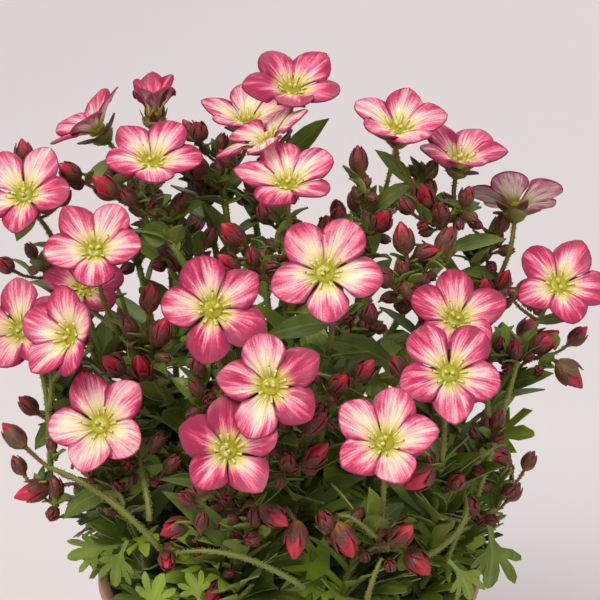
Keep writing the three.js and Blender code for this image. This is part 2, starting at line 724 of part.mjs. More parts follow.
function clumpSolid(layout) {
  const solids = [];
  layout.stems.forEach(({ stem, pedicels, blooms }, stemIndex) => {
    const isFirst = stemIndex === 0;
    const points = isFirst ? [...shootPoints(layout.foot), ...stem.slice(1)] : [...stem];
    const radii = evenly(isFirst ? SHOOT_TIP_RADIUS : STEM_RADIUS, STEM_RADIUS, STEM_STEPS + 1);
    if (isFirst) radii.unshift(SHOOT_RADIUS, SHOOT_RADIUS);
    const pedicelRadii = evenly(STEM_RADIUS, PEDICEL_RADIUS * 1.2, PEDICEL_STEPS + 1);
    pedicels.forEach((pedicel, index) => {
      if (index > 0) {
        const tops = [...pedicel, calyxTop(blooms[index])];
        solids.push(bar(tops, [PEDICEL_RADIUS, ...pedicelRadii.slice(1), CALYX_RADIUS], STEM_SIDES));
        return;
      }
      points.push(...pedicel.slice(1), calyxTop(blooms[index]));
      radii.push(...pedicelRadii.slice(1), CALYX_RADIUS);
    });
    solids.push(bar(points, radii, pedicels.length > 0 || isFirst ? STEM_SIDES : THIN_SIDES));
  });
  for (const { buds } of layout.stems) {
    for (const bud of buds) solids.push(budSolid(bud));
  }
  for (const leaf of layout.stemLeaves) solids.push(stemLeafSolid(leaf));
  for (const leaf of layout.leaves) solids.push(leafSolid(leaf));
  return join(solids);
}

const plant = new THREE.Group();
plant.name = 'potted_mossy_saxifrage';
plant.add(meshOf(potSolid(), 'pot', terracotta));
plant.add(meshOf(soilSolid(), 'soil', peat));
for (const layout of clumpLayouts) plant.add(meshOf(clumpSolid(layout), layout.name, leafGreen));
for (const [name, { frame, petals }] of bloomLayouts) {
  plant.add(meshOf(bloomSolid(frame, petals), name, petalPink));
}

export default plant;
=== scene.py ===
"""A mossy saxifrage in bloom in its nursery pot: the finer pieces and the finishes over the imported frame."""
import bisect
import math
from types import SimpleNamespace

import bmesh
import bpy
from mathutils import Matrix, Vector


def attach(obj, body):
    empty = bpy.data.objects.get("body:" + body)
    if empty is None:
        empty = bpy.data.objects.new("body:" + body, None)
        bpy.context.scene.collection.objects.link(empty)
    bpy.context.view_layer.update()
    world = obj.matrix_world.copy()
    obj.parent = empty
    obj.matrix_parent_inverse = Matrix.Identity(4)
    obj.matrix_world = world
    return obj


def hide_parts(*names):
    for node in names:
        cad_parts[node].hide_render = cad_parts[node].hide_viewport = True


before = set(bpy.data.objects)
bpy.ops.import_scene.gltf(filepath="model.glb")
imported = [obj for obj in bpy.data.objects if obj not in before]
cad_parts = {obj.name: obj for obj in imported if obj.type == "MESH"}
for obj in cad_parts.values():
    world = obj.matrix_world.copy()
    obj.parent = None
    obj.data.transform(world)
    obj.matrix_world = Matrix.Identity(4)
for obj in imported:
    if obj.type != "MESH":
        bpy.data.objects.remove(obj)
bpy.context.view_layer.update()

# Every size below is in millimetres, and a finished piece is scaled to metres
MM = 0.001
UP = Vector((0, 0, 1))
FULL_TURN = 2 * math.pi

# The seeds of the draws: for the layout, which is the part's own, and for the finer pieces
LAYOUT_SEED = 20404
PIECE_SEED = 8111

# The photograph's camera
CAMERA_RISE = math.radians(20)
CAMERA_AIM = Vector((3, 0, 158))
CAMERA_DISTANCE = 560
FOCAL_PIXELS = 2128
PHOTO_WIDTH = 600
SENSOR_WIDTH = 36

# The studio: its flat floor's radius, the bend up to its wall, and the wall above the bend
STAGE_FLAT = 2600
STAGE_BEND = 1200
STAGE_WALL = 300
STAGE_STEPS = 12

# Steps round whatever is turned on a lathe, and the angle in radians past which an edge stays sharp
ROUND_STEPS = 96
SHARP_ANGLE = 1

# The pot and its soil
CLEARANCE = 0.3
POT_HEIGHT = 80
POT_TOP_RADIUS = 51.4
POT_BASE_RADIUS = 32
POT_WALL = 1.8
POT_FLOOR = 2.4
LIP_HEIGHT = 3.2
LIP_PROUD = 1.1
DRAIN_HOLES = 6
DRAIN_RADIUS = 3
DRAIN_RING = 22
SOIL_CROWN = 1.5
SOIL_TOP = POT_HEIGHT - 9

# The plant, as in the part
SHOOT_RADIUS = 2.8
SHOOT_TIP_RADIUS = 1.5
ROOT_DEPTH = 11
SHOOT_ROOT = SOIL_TOP - ROOT_DEPTH
COLLAR_HEIGHT = 3
SHOOT_REACH = 30
SHOOT_FALL = 0.25
SHOOT_LEAN = 0.34
OUTER_SPREAD = 2
SIDE_STEM_START = 0.35
STEM_RADIUS = 1.15
STEM_BEND_OUT = 0.3
STEM_BEND_UP = 0.62
STEM_STEPS = 4
PEDICEL_STEPS = 3
PEDICEL_RADIUS = 0.7
PETALS = 5
PETAL_LENGTH = 12.2
PETAL_WIDTH = 10.4
PETAL_CURL = 18
PETAL_ROOT = 1.2
HEART_DROP = 1.2
CALYX_DEPTH = 3.2
CALYX_DROP = HEART_DROP + CLEARANCE
LEAF_LENGTH = 22
LOW_LEAF_PITCH = 22
HIGH_LEAF_PITCH = 58
OUTER_LEAVES = 10
INNER_LEAVES = 5
OUTER_RING = 25
LEAF_CUP = 0.014
STEM_LEAF_LENGTH = 15
STEM_LEAF_WIDTH = 4.6
STEM_LEAVES = 2
BRANCH_SPACING = 3
BRANCH_START = 0.6
BRANCH_DROP = 7
BRANCH_COST = 1.6
STEM_SPACING = 2.2
FINE_SPACING = 2
GOLDEN_ANGLE = 137.5
LEAF_GAP = 0.55
LIP_ROOM = 3
OWN_OVERLAP = 0.8
CELL = 6
LEAF_TRIES = 60
STEM_LEAF_TRIES = 16

# On its left side the front of the pot's edge stays bare: no leaf lies below this slope there
BARE_LEFT = -38
BARE_BACK = 15
BARE_TOP = 80
BARE_SLOPE = 0.36

# Open blooms: name, centre, tilt of the face from straight up, heading of the tilt
# (0 is the front, 90 the right side), turn of the first petal, rise of the petals, size
BLOOMS = [
    ("bloom_01", (-67, -8, 189), 44, -13, 24, 24, 1),
    ("bloom_02", (-50, 12, 201), 40, -90, 10, 34, 1),
    ("bloom_03", (-36, 25, 202), 6, 0, 0, 70, 0.85),
    ("bloom_04", (-35, -2, 196), 28, 7, 36, 24, 1),
    ("bloom_05", (-48, -25, 180), 40, 0, 33, 24, 1),
    ("bloom_06", (-68, -18, 156), 48, -5, -10, 24, 1),
    ("bloom_07", (-53, -37, 162), 62, -43, -20, 30, 1),
    ("bloom_08", (-53, -6, 163), 40, 10, 0, 24, 0.8),
    ("bloom_09", (-11, 18, 201), 15, 0, 0, 28, 0.95),
    ("bloom_10", (1, 6, 213), 28, 7, -28, 24, 1),
    ("bloom_11", (-5, -4, 202), 30, -88, 20, 20, 1),
    ("bloom_12", (0, -19, 195), 20, 0, -15, 24, 1),
    ("bloom_13", (9, -45, 181), 55, 0, 32, 20, 1.05),
    ("bloom_14", (-18, -48, 173), 61, 13, -15, 20, 1.05),
    ("bloom_15", (-4, -60, 158), 60, 0, -15, 22, 1),
    ("bloom_16", (-46, -44, 141), 51, -9, -28, 22, 1.05),
    ("bloom_17", (-14, -66, 144), 50, 0, 0, 24, 1),
    ("bloom_18", (28, 0, 204), 20, 11, 20, 26, 1),
    ("bloom_19", (44, 2, 195), 15, 35, -15, 30, 1),
    ("bloom_20", (60, 12, 180), 38, 172, 10, 20, 1.05),
    ("bloom_21", (70, -6, 164), 47, 11, 36, 24, 1),
    ("bloom_22", (42, -26, 162), 34, 0, 0, 24, 1),
    ("bloom_23", (39, -50, 157), 48, 0, 34, 22, 1.02),
    ("bloom_24", (23, -64, 145), 40, 0, 15, 28, 1.05),
    ("bloom_25", (-54, 38, 157), 50, -130, 12, 24, 1),
    ("bloom_26", (-38, 38, 181), 42, -160, 30, 24, 0.95),
    ("bloom_27", (-21, 50, 138), 58, -165, -8, 22, 1),
    ("bloom_28", (10, 50, 148), 55, 175, 20, 24, 1),
    ("bloom_29", (30, 34, 194), 40, 160, 0, 26, 0.9),
    ("bloom_30", (46, 44, 128), 60, 140, 16, 22, 1),
    ("bloom_31", (-5, 60, 113), 65, 180, -20, 22, 1),
]

# Clumps: name, where the shoot stands in the soil, and its flowering stems. Each stem has its fork,
# the blooms that it carries, its buds as centre and length, and the small buds that are only here
CLUMPS = [
    ("clump_01", (-10.5, -32), [
        ((-6, -50, 131), ["bloom_15", "bloom_17"], [(7, -56, 147, 8), (7, -54, 138, 9)],
         [(0, -56, 137, 6), (-21, -60, 132, 6.5), (-25, -56, 127, 5.5)]),
        ((-14, -54, 112), [],
         [(-3, -62, 125, 8.5), (2, -63, 119, 9.5), (-28, -54, 118, 8), (-30, -52, 108, 7),
          (-19, -51, 99, 7.5)],
         [(-8, -60, 124, 6), (-21, -56, 121, 6)]),
    ]),
    ("clump_02", (10.5, -32), [
        ((21, -54, 117), ["bloom_24"], [(14, -61, 118, 9.5), (28, -59, 119, 9), (32, -57, 110, 9)],
         [(9, -60, 123, 6.5), (25, -60, 111, 5)]),
    ]),
    ("clump_03", (-27.5, -20), [
        ((-43, -38, 117), ["bloom_16"], [(-71, -22, 129, 9), (-66, -29, 116, 10)],
         [(-70, -23, 121, 6), (-60, -28, 117, 6.5), (-33, -36, 133, 6), (-29, -38, 128, 6)]),
    ]),
    ("clump_04", (27.5, -20), [
        ((38, -44, 130), ["bloom_23"], [(32, -51, 130, 10), (27, -42, 156, 7)], [(42, -46, 127, 6.5)]),
        ((54, -26, 110), [], [(54, -22, 123, 9)],
         [(63, -18, 120, 6), (59, -20, 112, 6), (47, -31, 113, 6.5)]),
    ]),
    ("clump_05", (-34, 0), [
        ((-60, -20, 140), ["bloom_06", "bloom_07"], [(-68, -14, 134, 7)], [(-52, -22, 136, 6)]),
        ((-61, 8, 169), ["bloom_01"], [(-68, 1, 198, 8)], [(-58, -1, 187, 6.5), (-73, -9, 171, 6.5)]),
    ]),
    ("clump_06", (34, 0), [
        ((60, -7, 144), ["bloom_21"],
         [(64, -2, 162, 10), (67, -6, 149, 10), (76, -5, 150, 7), (74, -8, 140, 10)],
         [(59, -10, 148, 6.5)]),
    ]),
    ("clump_07", (-27.5, 20), [
        ((-44, 31, 136), ["bloom_25"], [(-62, 20, 140, 8), (-59, 30, 129, 7)], [(-50, 46, 124, 6.5)]),
        ((-33, 33, 160), ["bloom_26"], [(-26, 44, 166, 8), (-46, 26, 170, 7)], []),
    ]),
    ("clump_08", (27.5, 20), [
        ((52, 11, 152), ["bloom_20"], [(52, 4, 160, 8), (57, 5, 162, 7), (66, 22, 142, 8)], []),
        ((40, 34, 106), ["bloom_30"], [(58, 32, 112, 8), (38, 54, 112, 7)], []),
    ]),
    ("clump_09", (-10.5, 32), [
        ((-17, 42, 118), ["bloom_27"], [(-30, 52, 126, 8), (-8, 52, 130, 7)], []),
        ((-6, 48, 96), ["bloom_31"], [(-20, 62, 102, 8), (8, 60, 104, 7)], []),
    ]),
    ("clump_10", (10.5, 32), [
        ((11, 40, 128), ["bloom_28"], [(22, 54, 136, 8)], [(2, 46, 140, 6.5)]),
        ((25, 33, 172), ["bloom_29"], [(34, 42, 176, 8)], [(18, 42, 172, 6.5)]),
    ]),
    ("clump_11", (0, -16), [
        ((10, -34, 156), ["bloom_13"], [(13, -43, 152, 9), (19, -42, 155, 8)], [(8, -43, 145, 6)]),
        ((-15, -34, 148), ["bloom_14"], [], [(-23, -34, 147, 6)]),
    ]),
    ("clump_12", (-15, -5), [
        ((-43, -15, 154), ["bloom_05", "bloom_08"], [], []),
        ((-37, -23, 149), [],
         [(-35, -20, 166, 8), (-32, -26, 159, 9), (-44, -31, 152, 9), (-37, -29, 151, 9)],
         [(-40, -25, 160, 6)]),
    ]),
    ("clump_13", (15, -5), [
        ((34, -17, 154), ["bloom_22"],
         [(29, -17, 181, 9), (35, -17, 177, 7), (40, -13, 179, 8), (31, -21, 167, 8)],
         [(29, -19, 173, 6), (24, -23, 172, 6)]),
        ((21, -3, 172), [], [(18, -2, 197, 8), (24, -12, 184, 8.5)], []),
    ]),
    ("clump_14", (-9, 13), [
        ((-38, 15, 179), ["bloom_02", "bloom_03"], [(-57, 4, 192, 8)], []),
        ((-17, 10, 183), ["bloom_09"], [(-26, 12, 201, 7), (-23, 4, 203, 7), (-24, 3, 194, 9)], []),
    ]),
    ("clump_15", (9, 13), [
        ((41, 2, 168), ["bloom_18", "bloom_19"], [(35, -4, 188, 9), (39, -5, 184, 7)],
         [(30, -6, 186, 6), (37, 3, 193, 6), (46, -1, 187, 6.5)]),
    ]),
    ("clump_16", (0, 0), [
        ((-1, 2, 179), ["bloom_10", "bloom_11"], [(-6, 0, 182, 7)], [(-16, 3, 196, 6.5)]),
        ((1, -13, 172), ["bloom_12"], [(-14, -20, 183, 8.5), (-15, -22, 176, 8)], [(-9, -20, 177, 6)]),
        ((-31, -3, 176), ["bloom_04"], [(-47, -6, 191, 9)], [(-41, -5, 188, 6), (-28, 0, 185, 6.5)]),
    ]),
]


class Draws:
    """Seeded draws, the same on every run, by the minimal standard generator"""

    FACTOR = 16807
    MODULUS = 2147483647

    def __init__(self, seed):
        self.seed = seed

    def between(self, low, high):
        self.seed = self.seed * self.FACTOR % self.MODULUS
        return low + (high - low) * (self.seed / self.MODULUS)

    def turn(self):
        """An angle from anywhere round the circle"""
        return self.between(0, FULL_TURN)

    def vector(self, *ranges):
        return Vector([self.between(low, high) for low, high in ranges])


class Curve:
    """A Bezier curve with points spaced evenly along it"""

    SAMPLES = 200

    def __init__(self, *controls):
        self.controls = controls
        self.reaches = [0.0]
        before = self.at(0)
        for k in range(1, self.SAMPLES + 1):
            here = self.at(k / self.SAMPLES)
            self.reaches.append(self.reaches[-1] + (here - before).length)
            before = here

    def at(self, t):
        points = self.controls
        while len(points) > 1:
            points = [a + (b - a) * t for a, b in zip(points, points[1:])]
        return points[0]

    def spaced(self, steps):
        points = [self.at(0)]
        for k in range(1, steps):
            target = self.reaches[-1] * k / steps
            i = bisect.bisect_right(self.reaches, target) - 1
            share = (target - self.reaches[i]) / (self.reaches[i + 1] - self.reaches[i])
            points.append(self.at((i + share) / self.SAMPLES))
        points.append(self.at(1))
        return points


def lengths_of(points):
    return [(b - a).length for a, b in zip(points, points[1:])]


def point_along(points, share):
    """The point at a share of the way along a row of points"""
    steps = lengths_of(points)
    left = share * sum(steps)
    i = 0
    while i < len(steps) - 1 and left > steps[i]:
        left -= steps[i]
        i += 1
    return points[i].lerp(points[i + 1], left / steps[i])


def arch(length, pitch, droop, along):
    """How far out and up an arched midline has come after a length, and its pitch there"""
    start = math.radians(pitch)
    turn = math.radians(droop)
    here = start - turn * along / length
    bend = length / turn
    return bend * (math.sin(start) - math.sin(here)), bend * (math.cos(here) - math.cos(start)), here


class Leaf:
    """An arched leaf. Its heading is in radians, its pitch, droop and roll in degrees"""

    def __init__(self, root, heading, pitch, droop, roll, length, width=0):
        self.root = root
        self.pitch = pitch
        self.droop = droop
        self.roll = math.radians(roll)
        self.length = length
        self.width = width
        self.ahead = Vector((math.cos(heading), math.sin(heading), 0))
        self.side = Vector((-math.sin(heading), math.cos(heading), 0))

    def point(self, across, along, lift):
        out, up, pitch = arch(self.length, self.pitch, self.droop, along)
        face = UP * math.cos(pitch) - self.ahead * math.sin(pitch)
        turned_side = self.side * math.cos(self.roll) + face * math.sin(self.roll)
        turned_face = face * math.cos(self.roll) - self.side * math.sin(self.roll)
        spot = self.root + self.ahead * out + UP * up
        return spot + turned_side * across + turned_face * (lift + LEAF_CUP * across * across)


class Bloom:
    """An open bloom: its frame, and five petals that differ a little"""

    def __init__(self, row, draws):
        self.name, centre, tilt, heading, spin, rise, self.size = row
        t, h = math.radians(tilt), math.radians(heading)
        self.centre = Vector(centre)
        self.face = Vector((math.sin(t) * math.sin(h), -math.sin(t) * math.cos(h), math.cos(t)))
        self.right = Vector((math.cos(h), math.sin(h), 0))
        self.top = self.face.cross(self.right)
        self.petals = []
        for k in range(PETALS):
            self.petals.append(SimpleNamespace(
                angle=math.radians(spin + 360 / PETALS * k + draws.between(-3, 3)),
                length=self.size * PETAL_LENGTH * draws.between(0.95, 1.05),
                width=self.size * PETAL_WIDTH * draws.between(0.94, 1.04),
                pitch=rise + PETAL_CURL / 2 + draws.between(-4, 4),
                skew=math.radians(draws.between(-7, 7)),
            ))

    def petal_point(self, petal, across, along, lift):
        out, up, pitch = arch(petal.length, petal.pitch, PETAL_CURL, along)
        ahead = self.top * math.cos(petal.angle) + self.right * math.sin(petal.angle)
        side = self.face.cross(ahead)
        outward = PETAL_ROOT + out - lift * math.sin(pitch)
        upward = up + lift * math.cos(pitch) + across * math.sin(petal.skew)
        return self.centre + ahead * outward + side * across + self.face * upward

    def spot(self, x, y, z):
        """A point given across, up the face and out of it, from the bloom's centre"""
        return self.centre + self.right * x + self.top * y + self.face * z


# Room already taken: small spheres in a grid of cells, by owner
taken = {}


def cell_of(point, i=0, j=0, k=0):
    return tuple(math.floor((value + step * CELL) / CELL) for value, step in zip(point, (i, j, k)))


def take(spheres, owner):
    """Marks the room of some spheres as an owner's"""
    for point, radius in spheres:
        taken.setdefault(cell_of(point), []).append((point, radius, owner))


NEIGHBOURS = [(i, j, k) for i in (-1, 0, 1) for j in (-1, 0, 1) for k in (-1, 0, 1)]


def near(point):
    """The spheres in a point's cell and in the cells round it"""
    for i, j, k in NEIGHBOURS:
        yield from taken.get(cell_of(point, i, j, k), ())


def meets_plant(point, radius, owner):
    for other, other_radius, other_owner in near(point):
        gap = -OWN_OVERLAP if other_owner == owner else LEAF_GAP
        if (point - other).length < radius + other_radius + gap:
            return True
    return False


def touches_pot(point, radius):
    from_axis = math.hypot(point.x, point.y)
    lip_middle = POT_TOP_RADIUS - POT_WALL / 2
    room = radius + LEAF_GAP
    on_lip = point.z < POT_HEIGHT + room and abs(from_axis - lip_middle) < radius + LIP_ROOM
    in_soil = point.z < SOIL_TOP + SOIL_CROWN + radius and from_axis < POT_TOP_RADIUS
    is_outside = from_axis > lip_middle and point.z < POT_HEIGHT
    in_side = is_outside and from_axis < POT_TOP_RADIUS + LIP_PROUD + room
    return on_lip or in_soil or in_side


def is_bare(point):
    return point.x < BARE_LEFT and point.y < BARE_BACK and point.z + BARE_SLOPE * point.y < BARE_TOP


def meets_pot(point, radius):
    return touches_pot(point, radius) or is_bare(point)


def shoot_points(foot):
    """A shoot stands upright in the soil, then leans away from the middle of the pot"""
    x, y = foot
    top = SOIL_TOP + SHOOT_REACH - SHOOT_FALL * math.hypot(x, y)
    lean = 1 + SHOOT_LEAN
    return [
        Vector((x, y, SHOOT_ROOT)),
        Vector((x, y, SOIL_TOP + COLLAR_HEIGHT)),
        Vector((x * lean, y * lean, top)),
    ]


def stem_curve(foot, fork, is_first):
    """The first stem of a clump goes on from the shoot's top, the others leave its side"""
    _, collar, top = shoot_points(foot)
    start = top if is_first else collar.lerp(top, SIDE_STEM_START)
    end = Vector(fork)
    reach = end - start
    bend = start + Vector((reach.x * STEM_BEND_OUT, reach.y * STEM_BEND_OUT, reach.z * STEM_BEND_UP))
    return Curve(start, bend, end)


def pedicel_curve(stem, bloom):
    """The pedicel that goes on from a stem to a bloom"""
    before, start = stem[-2:]
    end = bloom.centre - bloom.face * (CALYX_DROP + CALYX_DEPTH)
    reach = (end - start).length * 0.4
    first = start + (start - before).normalized() * reach
    second = end - bloom.face * reach
    return Curve(start, first, second, end)


def spots_along(points, spacing, start=0):
    """Spots about a spacing apart along a row of points, from a share of its length on"""
    reach = sum(lengths_of(points))
    count = max(2, math.ceil(reach / spacing))
    return [point_along(points, i / count) for i in range(count + 1) if i / count >= start]


def branch_point(points, bud):
    """Where a bud's stalk leaves the spray: the nearest point that lies below the bud"""

    def cost(point):
        too_high = max(0, point.z - (bud.z - BRANCH_DROP))
        return (point - bud).length + BRANCH_COST * too_high

    return min(points, key=cost)


def lay_bud(points, row):
    """A bud on its stalk, which turns up from the spray towards the light"""
    x, y, z, length = row
    centre = Vector((x, y, z))
    start = branch_point(points, centre)
    axis = ((centre - start).normalized() + UP * 0.5).normalized()
    base = centre - axis * (length / 2)
    return SimpleNamespace(centre=centre, axis=axis, base=base, length=length, start=start, is_ripe=False)


# Small spheres that fill a petal: across and along as shares of its width and length, and radius
PETAL_SPHERES = [(0, 0.3, 2), (-0.24, 0.58, 2.6), (0.24, 0.58, 2.6), (0, 0.86, 2.8)]

# Small spheres that fill a basal leaf of full length: across, along, radius
LOBE_SPHERES = [
    (0, 3, 0.7), (0, 5, 0.8), (0, 7.5, 0.9), (0, 10, 1.1),
    (0, 12.5, 1.6), (-2.8, 12.4, 1.4), (2.8, 12.4, 1.4),
    (-5, 14, 1.2), (5, 14, 1.2), (-6.6, 15.8, 0.8), (6.6, 15.8, 0.8),
    (0, 15.5, 1.6), (0, 18, 1.4), (0, 20.4, 0.9),
]


def leaf_spheres(leaf):
    scale = leaf.length / LEAF_LENGTH
    return [(leaf.point(x * scale, y * scale, 0), radius * scale) for x, y, radius in LOBE_SPHERES]


def stem_leaf_spheres(leaf):
    return [
        (leaf.point(0, share * leaf.length, 0), leaf.width * (0.35 if share > 0.7 else 0.5))
        for share in (0.25, 0.42, 0.6, 0.78, 0.94)
    ]


def find_room(propose, spheres_of, owner, tries):
    """Draws a leaf again until it is clear of everything, or gives up"""
    for _ in range(tries):
        leaf = propose()
        spheres = spheres_of(leaf)
        if not any(meets_pot(*sphere) or meets_plant(*sphere, owner) for sphere in spheres):
            take(spheres, owner)
            return leaf
    return None


class Clump:
    """A shoot with its stems, pedicels, buds and leaves, laid out as in the part"""

    def __init__(self, name, foot, stems, blooms):
        self.name = name
        self.foot = foot
        self.shoot = shoot_points(foot)
        self.stems = []
        self.leaves = []
        self.stem_leaves = []
        self.clear_leaves = []
        self.clear_stems = []
        for index, (fork, bloom_names, buds, small_buds) in enumerate(stems):
            self.stems.append(self.lay_stem(index, fork, [blooms[n] for n in bloom_names], buds, small_buds))

    def lay_stem(self, index, fork, blooms, buds, small_buds):
        curve = stem_curve(self.foot, fork, index == 0)
        stem = curve.spaced(STEM_STEPS)
        pedicels = [pedicel_curve(stem, bloom) for bloom in blooms]
        lines = [pedicel.spaced(PEDICEL_STEPS) for pedicel in pedicels]
        points = spots_along(stem, BRANCH_SPACING, BRANCH_START)
        for line in lines:
            points += spots_along(line, BRANCH_SPACING)[:-3]
        laid = []
        for row in buds + small_buds:
            bud = lay_bud(points, row)
            points += spots_along([bud.start, bud.base], BRANCH_SPACING)[1:-1]
            laid.append(bud)
        take([(spot, STEM_RADIUS) for spot in spots_along(stem, STEM_SPACING, 0.12)], self.name)
        big = laid[:len(buds)]
        for line in lines + [[bud.start, bud.base] for bud in big]:
            take([(spot, PEDICEL_RADIUS) for spot in spots_along(line, FINE_SPACING)], self.name)
        take([(bud.centre, bud.length * 0.4) for bud in big], self.name)
        return SimpleNamespace(
            curve=curve, line=stem, pedicels=pedicels, blooms=blooms, buds=laid, fork=Vector(fork),
        )

    def lay_stem_leaves(self, draws):
        for index, stem in enumerate(self.stems):
            start = draws.between(0, 360)
            for k in range(STEM_LEAVES if index == 0 else 1):
                share = 0.45 + 0.5 * k / STEM_LEAVES
                leaf = find_room(lambda: Leaf(
                    root=point_along(stem.line, share + draws.between(-0.06, 0.06)),
                    heading=math.radians(start + GOLDEN_ANGLE * k + draws.between(-60, 60)),
                    pitch=draws.between(35, 65),
                    droop=draws.between(15, 40),
                    roll=draws.between(-15, 15),
                    length=STEM_LEAF_LENGTH * draws.between(0.8, 1.2),
                    width=STEM_LEAF_WIDTH * draws.between(0.9, 1.1),
                ), stem_leaf_spheres, self.name, STEM_LEAF_TRIES)
                if leaf:
                    self.stem_leaves.append(leaf)

    def lay_leaves(self, draws):
        _, collar, top = self.shoot
        x, y = self.foot
        is_outer = math.hypot(x, y) > OUTER_RING
        outward = math.atan2(y, x)
        start = math.radians(draws.between(0, 360))
        count = OUTER_LEAVES if is_outer else INNER_LEAVES
        for k in range(count):
            share = k / (count - 1)
            golden = math.radians(GOLDEN_ANGLE * k)
            heading = outward + OUTER_SPREAD * math.sin(golden) if is_outer else start + golden
            leaf = find_room(lambda: Leaf(
                root=collar.lerp(top, 0.08 + 0.88 * share),
                heading=heading + math.radians(draws.between(-35, 35)),
                pitch=LOW_LEAF_PITCH + (HIGH_LEAF_PITCH - LOW_LEAF_PITCH) * share + draws.between(-14, 14),
                droop=draws.between(20, 60),
                roll=draws.between(-20, 20),
                length=LEAF_LENGTH * draws.between(0.95, 1.35),
            ), leaf_spheres, self.name, LEAF_TRIES)
            if leaf:
                self.leaves.append(leaf)


def lay_out():
    """Lays out the whole plant by the part's own rule and draws"""
    draws = Draws(LAYOUT_SEED)
    blooms = {}
    for row in BLOOMS:
        bloom = Bloom(row, draws)
        blooms[bloom.name] = bloom
        for petal in bloom.petals:
            take([
                (bloom.petal_point(petal, across * petal.width, along * petal.length, 0), radius)
                for across, along, radius in PETAL_SPHERES
            ], bloom.name)
    for name, foot, _ in CLUMPS:
        spots = spots_along(shoot_points(foot)[1:], FINE_SPACING)
        take([(spot, SHOOT_RADIUS * 0.8) for spot in spots], name)
    clumps = [Clump(name, foot, stems, blooms) for name, foot, stems in CLUMPS]
    for clump in clumps:
        clump.lay_stem_leaves(draws)
    for clump in clumps:
        clump.lay_leaves(draws)
    return blooms, clumps


# Sizes of the finer pieces. The claw is a petal's foot, as a share of its width
CLAW = 0.25
PETAL_THICK = 0.4
LEAF_THICK = 0.4
LEAF_HALF_WIDTH = 8
SEPAL_LENGTH = 4.6
SEPAL_WIDTH = 3
SEPAL_THICK = 0.5
BUD_SEPAL_THICK = 0.28
FIRST_STEM = 1.3
FINE_STEM = 0.98
FINE_PEDICEL = 0.6
FINE_STALK = 0.4
HAIR_LENGTH = 0.6
HAIR_RADIUS = 0.06
SLEEVE_LENGTH = 1.6
HEART_WIDTH = 2.5
HEART_HEIGHT = 1.25
STYLE_FOOT = 1.1
STYLE_TOP = 2.3
STAMEN_RING = 2.1
STAMEN_FOOT = 0.5
CALYX_RADII = (FINE_PEDICEL * 1.2, 1.7, 2.5, 3.05, 3.35, 3.3)

# Buds under the first length are unripe, and past the second they are as ripe as they get. Those that are
# added beside the others have stalks and lengths in these ranges, and keep apart by this share of a length
SMALL_BUD = 5.5
FULL_BUD = 9
UNRIPE_STALK = (1.4, 3.4)
UNRIPE_LENGTH = (3.6, 5.4)
BUD_ROOM = 0.38

# A bud's radius at even steps from its base to its tip, as a share of its half width
BUD_PROFILE = (0.26, 0.8, 1.0, 0.97, 0.84, 0.56, 0.12)

# How many there are of what repeats, the share of stamens that are fresh, and the turns between stem leaves
STAMENS = 10
FRESH_SHARE = 0.7
UNRIPE_BUDS = 4
HAIRS_PER_SLEEVE = 12
EXTRA_LEAVES = 26
LOW_STEM_LEAVES = 6
EXTRA_STEM_LEAVES = 8
FORK_LEAVES = 3
STALK_LEAVES = 2
LEAF_TURN = 2.4
FORK_TURN = 2.2

# Where each kind of stem lies on the stem's colours, from green to red-brown, and its hairs too
SHOOT_TONE = 0.2
STEM_TONES = (0.15, 0.15)
CLEAR_STEM_TONES = (0.3, 0.3)
PEDICEL_TONES = (0.42, 0.45)
CALYX_TONES = (0.48, 0.5)
STALK_TONES = (0.66, 0.6)

# Where the styles, the stamens' threads and their anthers lie on the heart's colours, from lime to brown
STYLE_TONE = 0.55
THREAD_TONE = 0.66
POLLEN_TONE = 0.74
SPENT_TONE = 1

# Sprays grow behind forks above this height, but not on these clumps
SPRAY_HEIGHT = 120
OPEN_CLUMPS = ("clump_12", "clump_13")

# The cushion of leaves keeps within this radius up to this height, and off the bare edge outside its ring.
# Its leaves turn their faces outward by up to this many degrees
CUSHION_RADIUS = 58
CUSHION_TOP = 112
BARE_RING = 46
OUTWARD_ROLL = 48

# How deeply each bloom is coloured, in the order of BLOOMS, and the side where three of them are deeper
ROSE = (
    0.55, 0.6, 0.7, 0.5, 0.55, 0.62, 0.4, 0.85, 0.35, 0.78, 0.25, 0.48, 0.4, 0.42, 0.42, 0.28, 0.72,
    0.4, 0.7, 0.42, 0.68, 0.6, 0.6, 0.36, 0.5, 0.6, 0.4, 0.55, 0.65, 0.3, 0.5,
)
FLUSHED = {"bloom_14": 165, "bloom_15": 95, "bloom_17": 300}

# Buds whose tips point another way than up, by their centres
TURNED_BUDS = {
    (-3, -62, 125): (0.75, -0.5, -0.35),
    (2, -63, 119): (-0.1, -0.45, -0.9),
    (14, -61, 118): (0.4, -0.4, -0.8),
    (-28, -54, 118): (-0.85, -0.4, -0.3),
    (-30, -52, 108): (0.1, -0.95, -0.1),
    (32, -57, 110): (0.6, -0.6, -0.4),
    (-66, -29, 116): (-0.9, -0.3, -0.2),
    (32, -51, 130): (-0.6, -0.6, -0.2),
    (74, -8, 140): (0.65, -0.2, -0.7),
    (67, -6, 149): (0.75, -0.2, 0.6),
    (64, -2, 162): (0.9, -0.1, 0.35),
    (54, -22, 123): (-0.7, -0.5, 0.4),
    (31, -21, 167): (0.5, -0.4, -0.7),
    (35, -17, 177): (0.8, -0.3, 0.3),
}

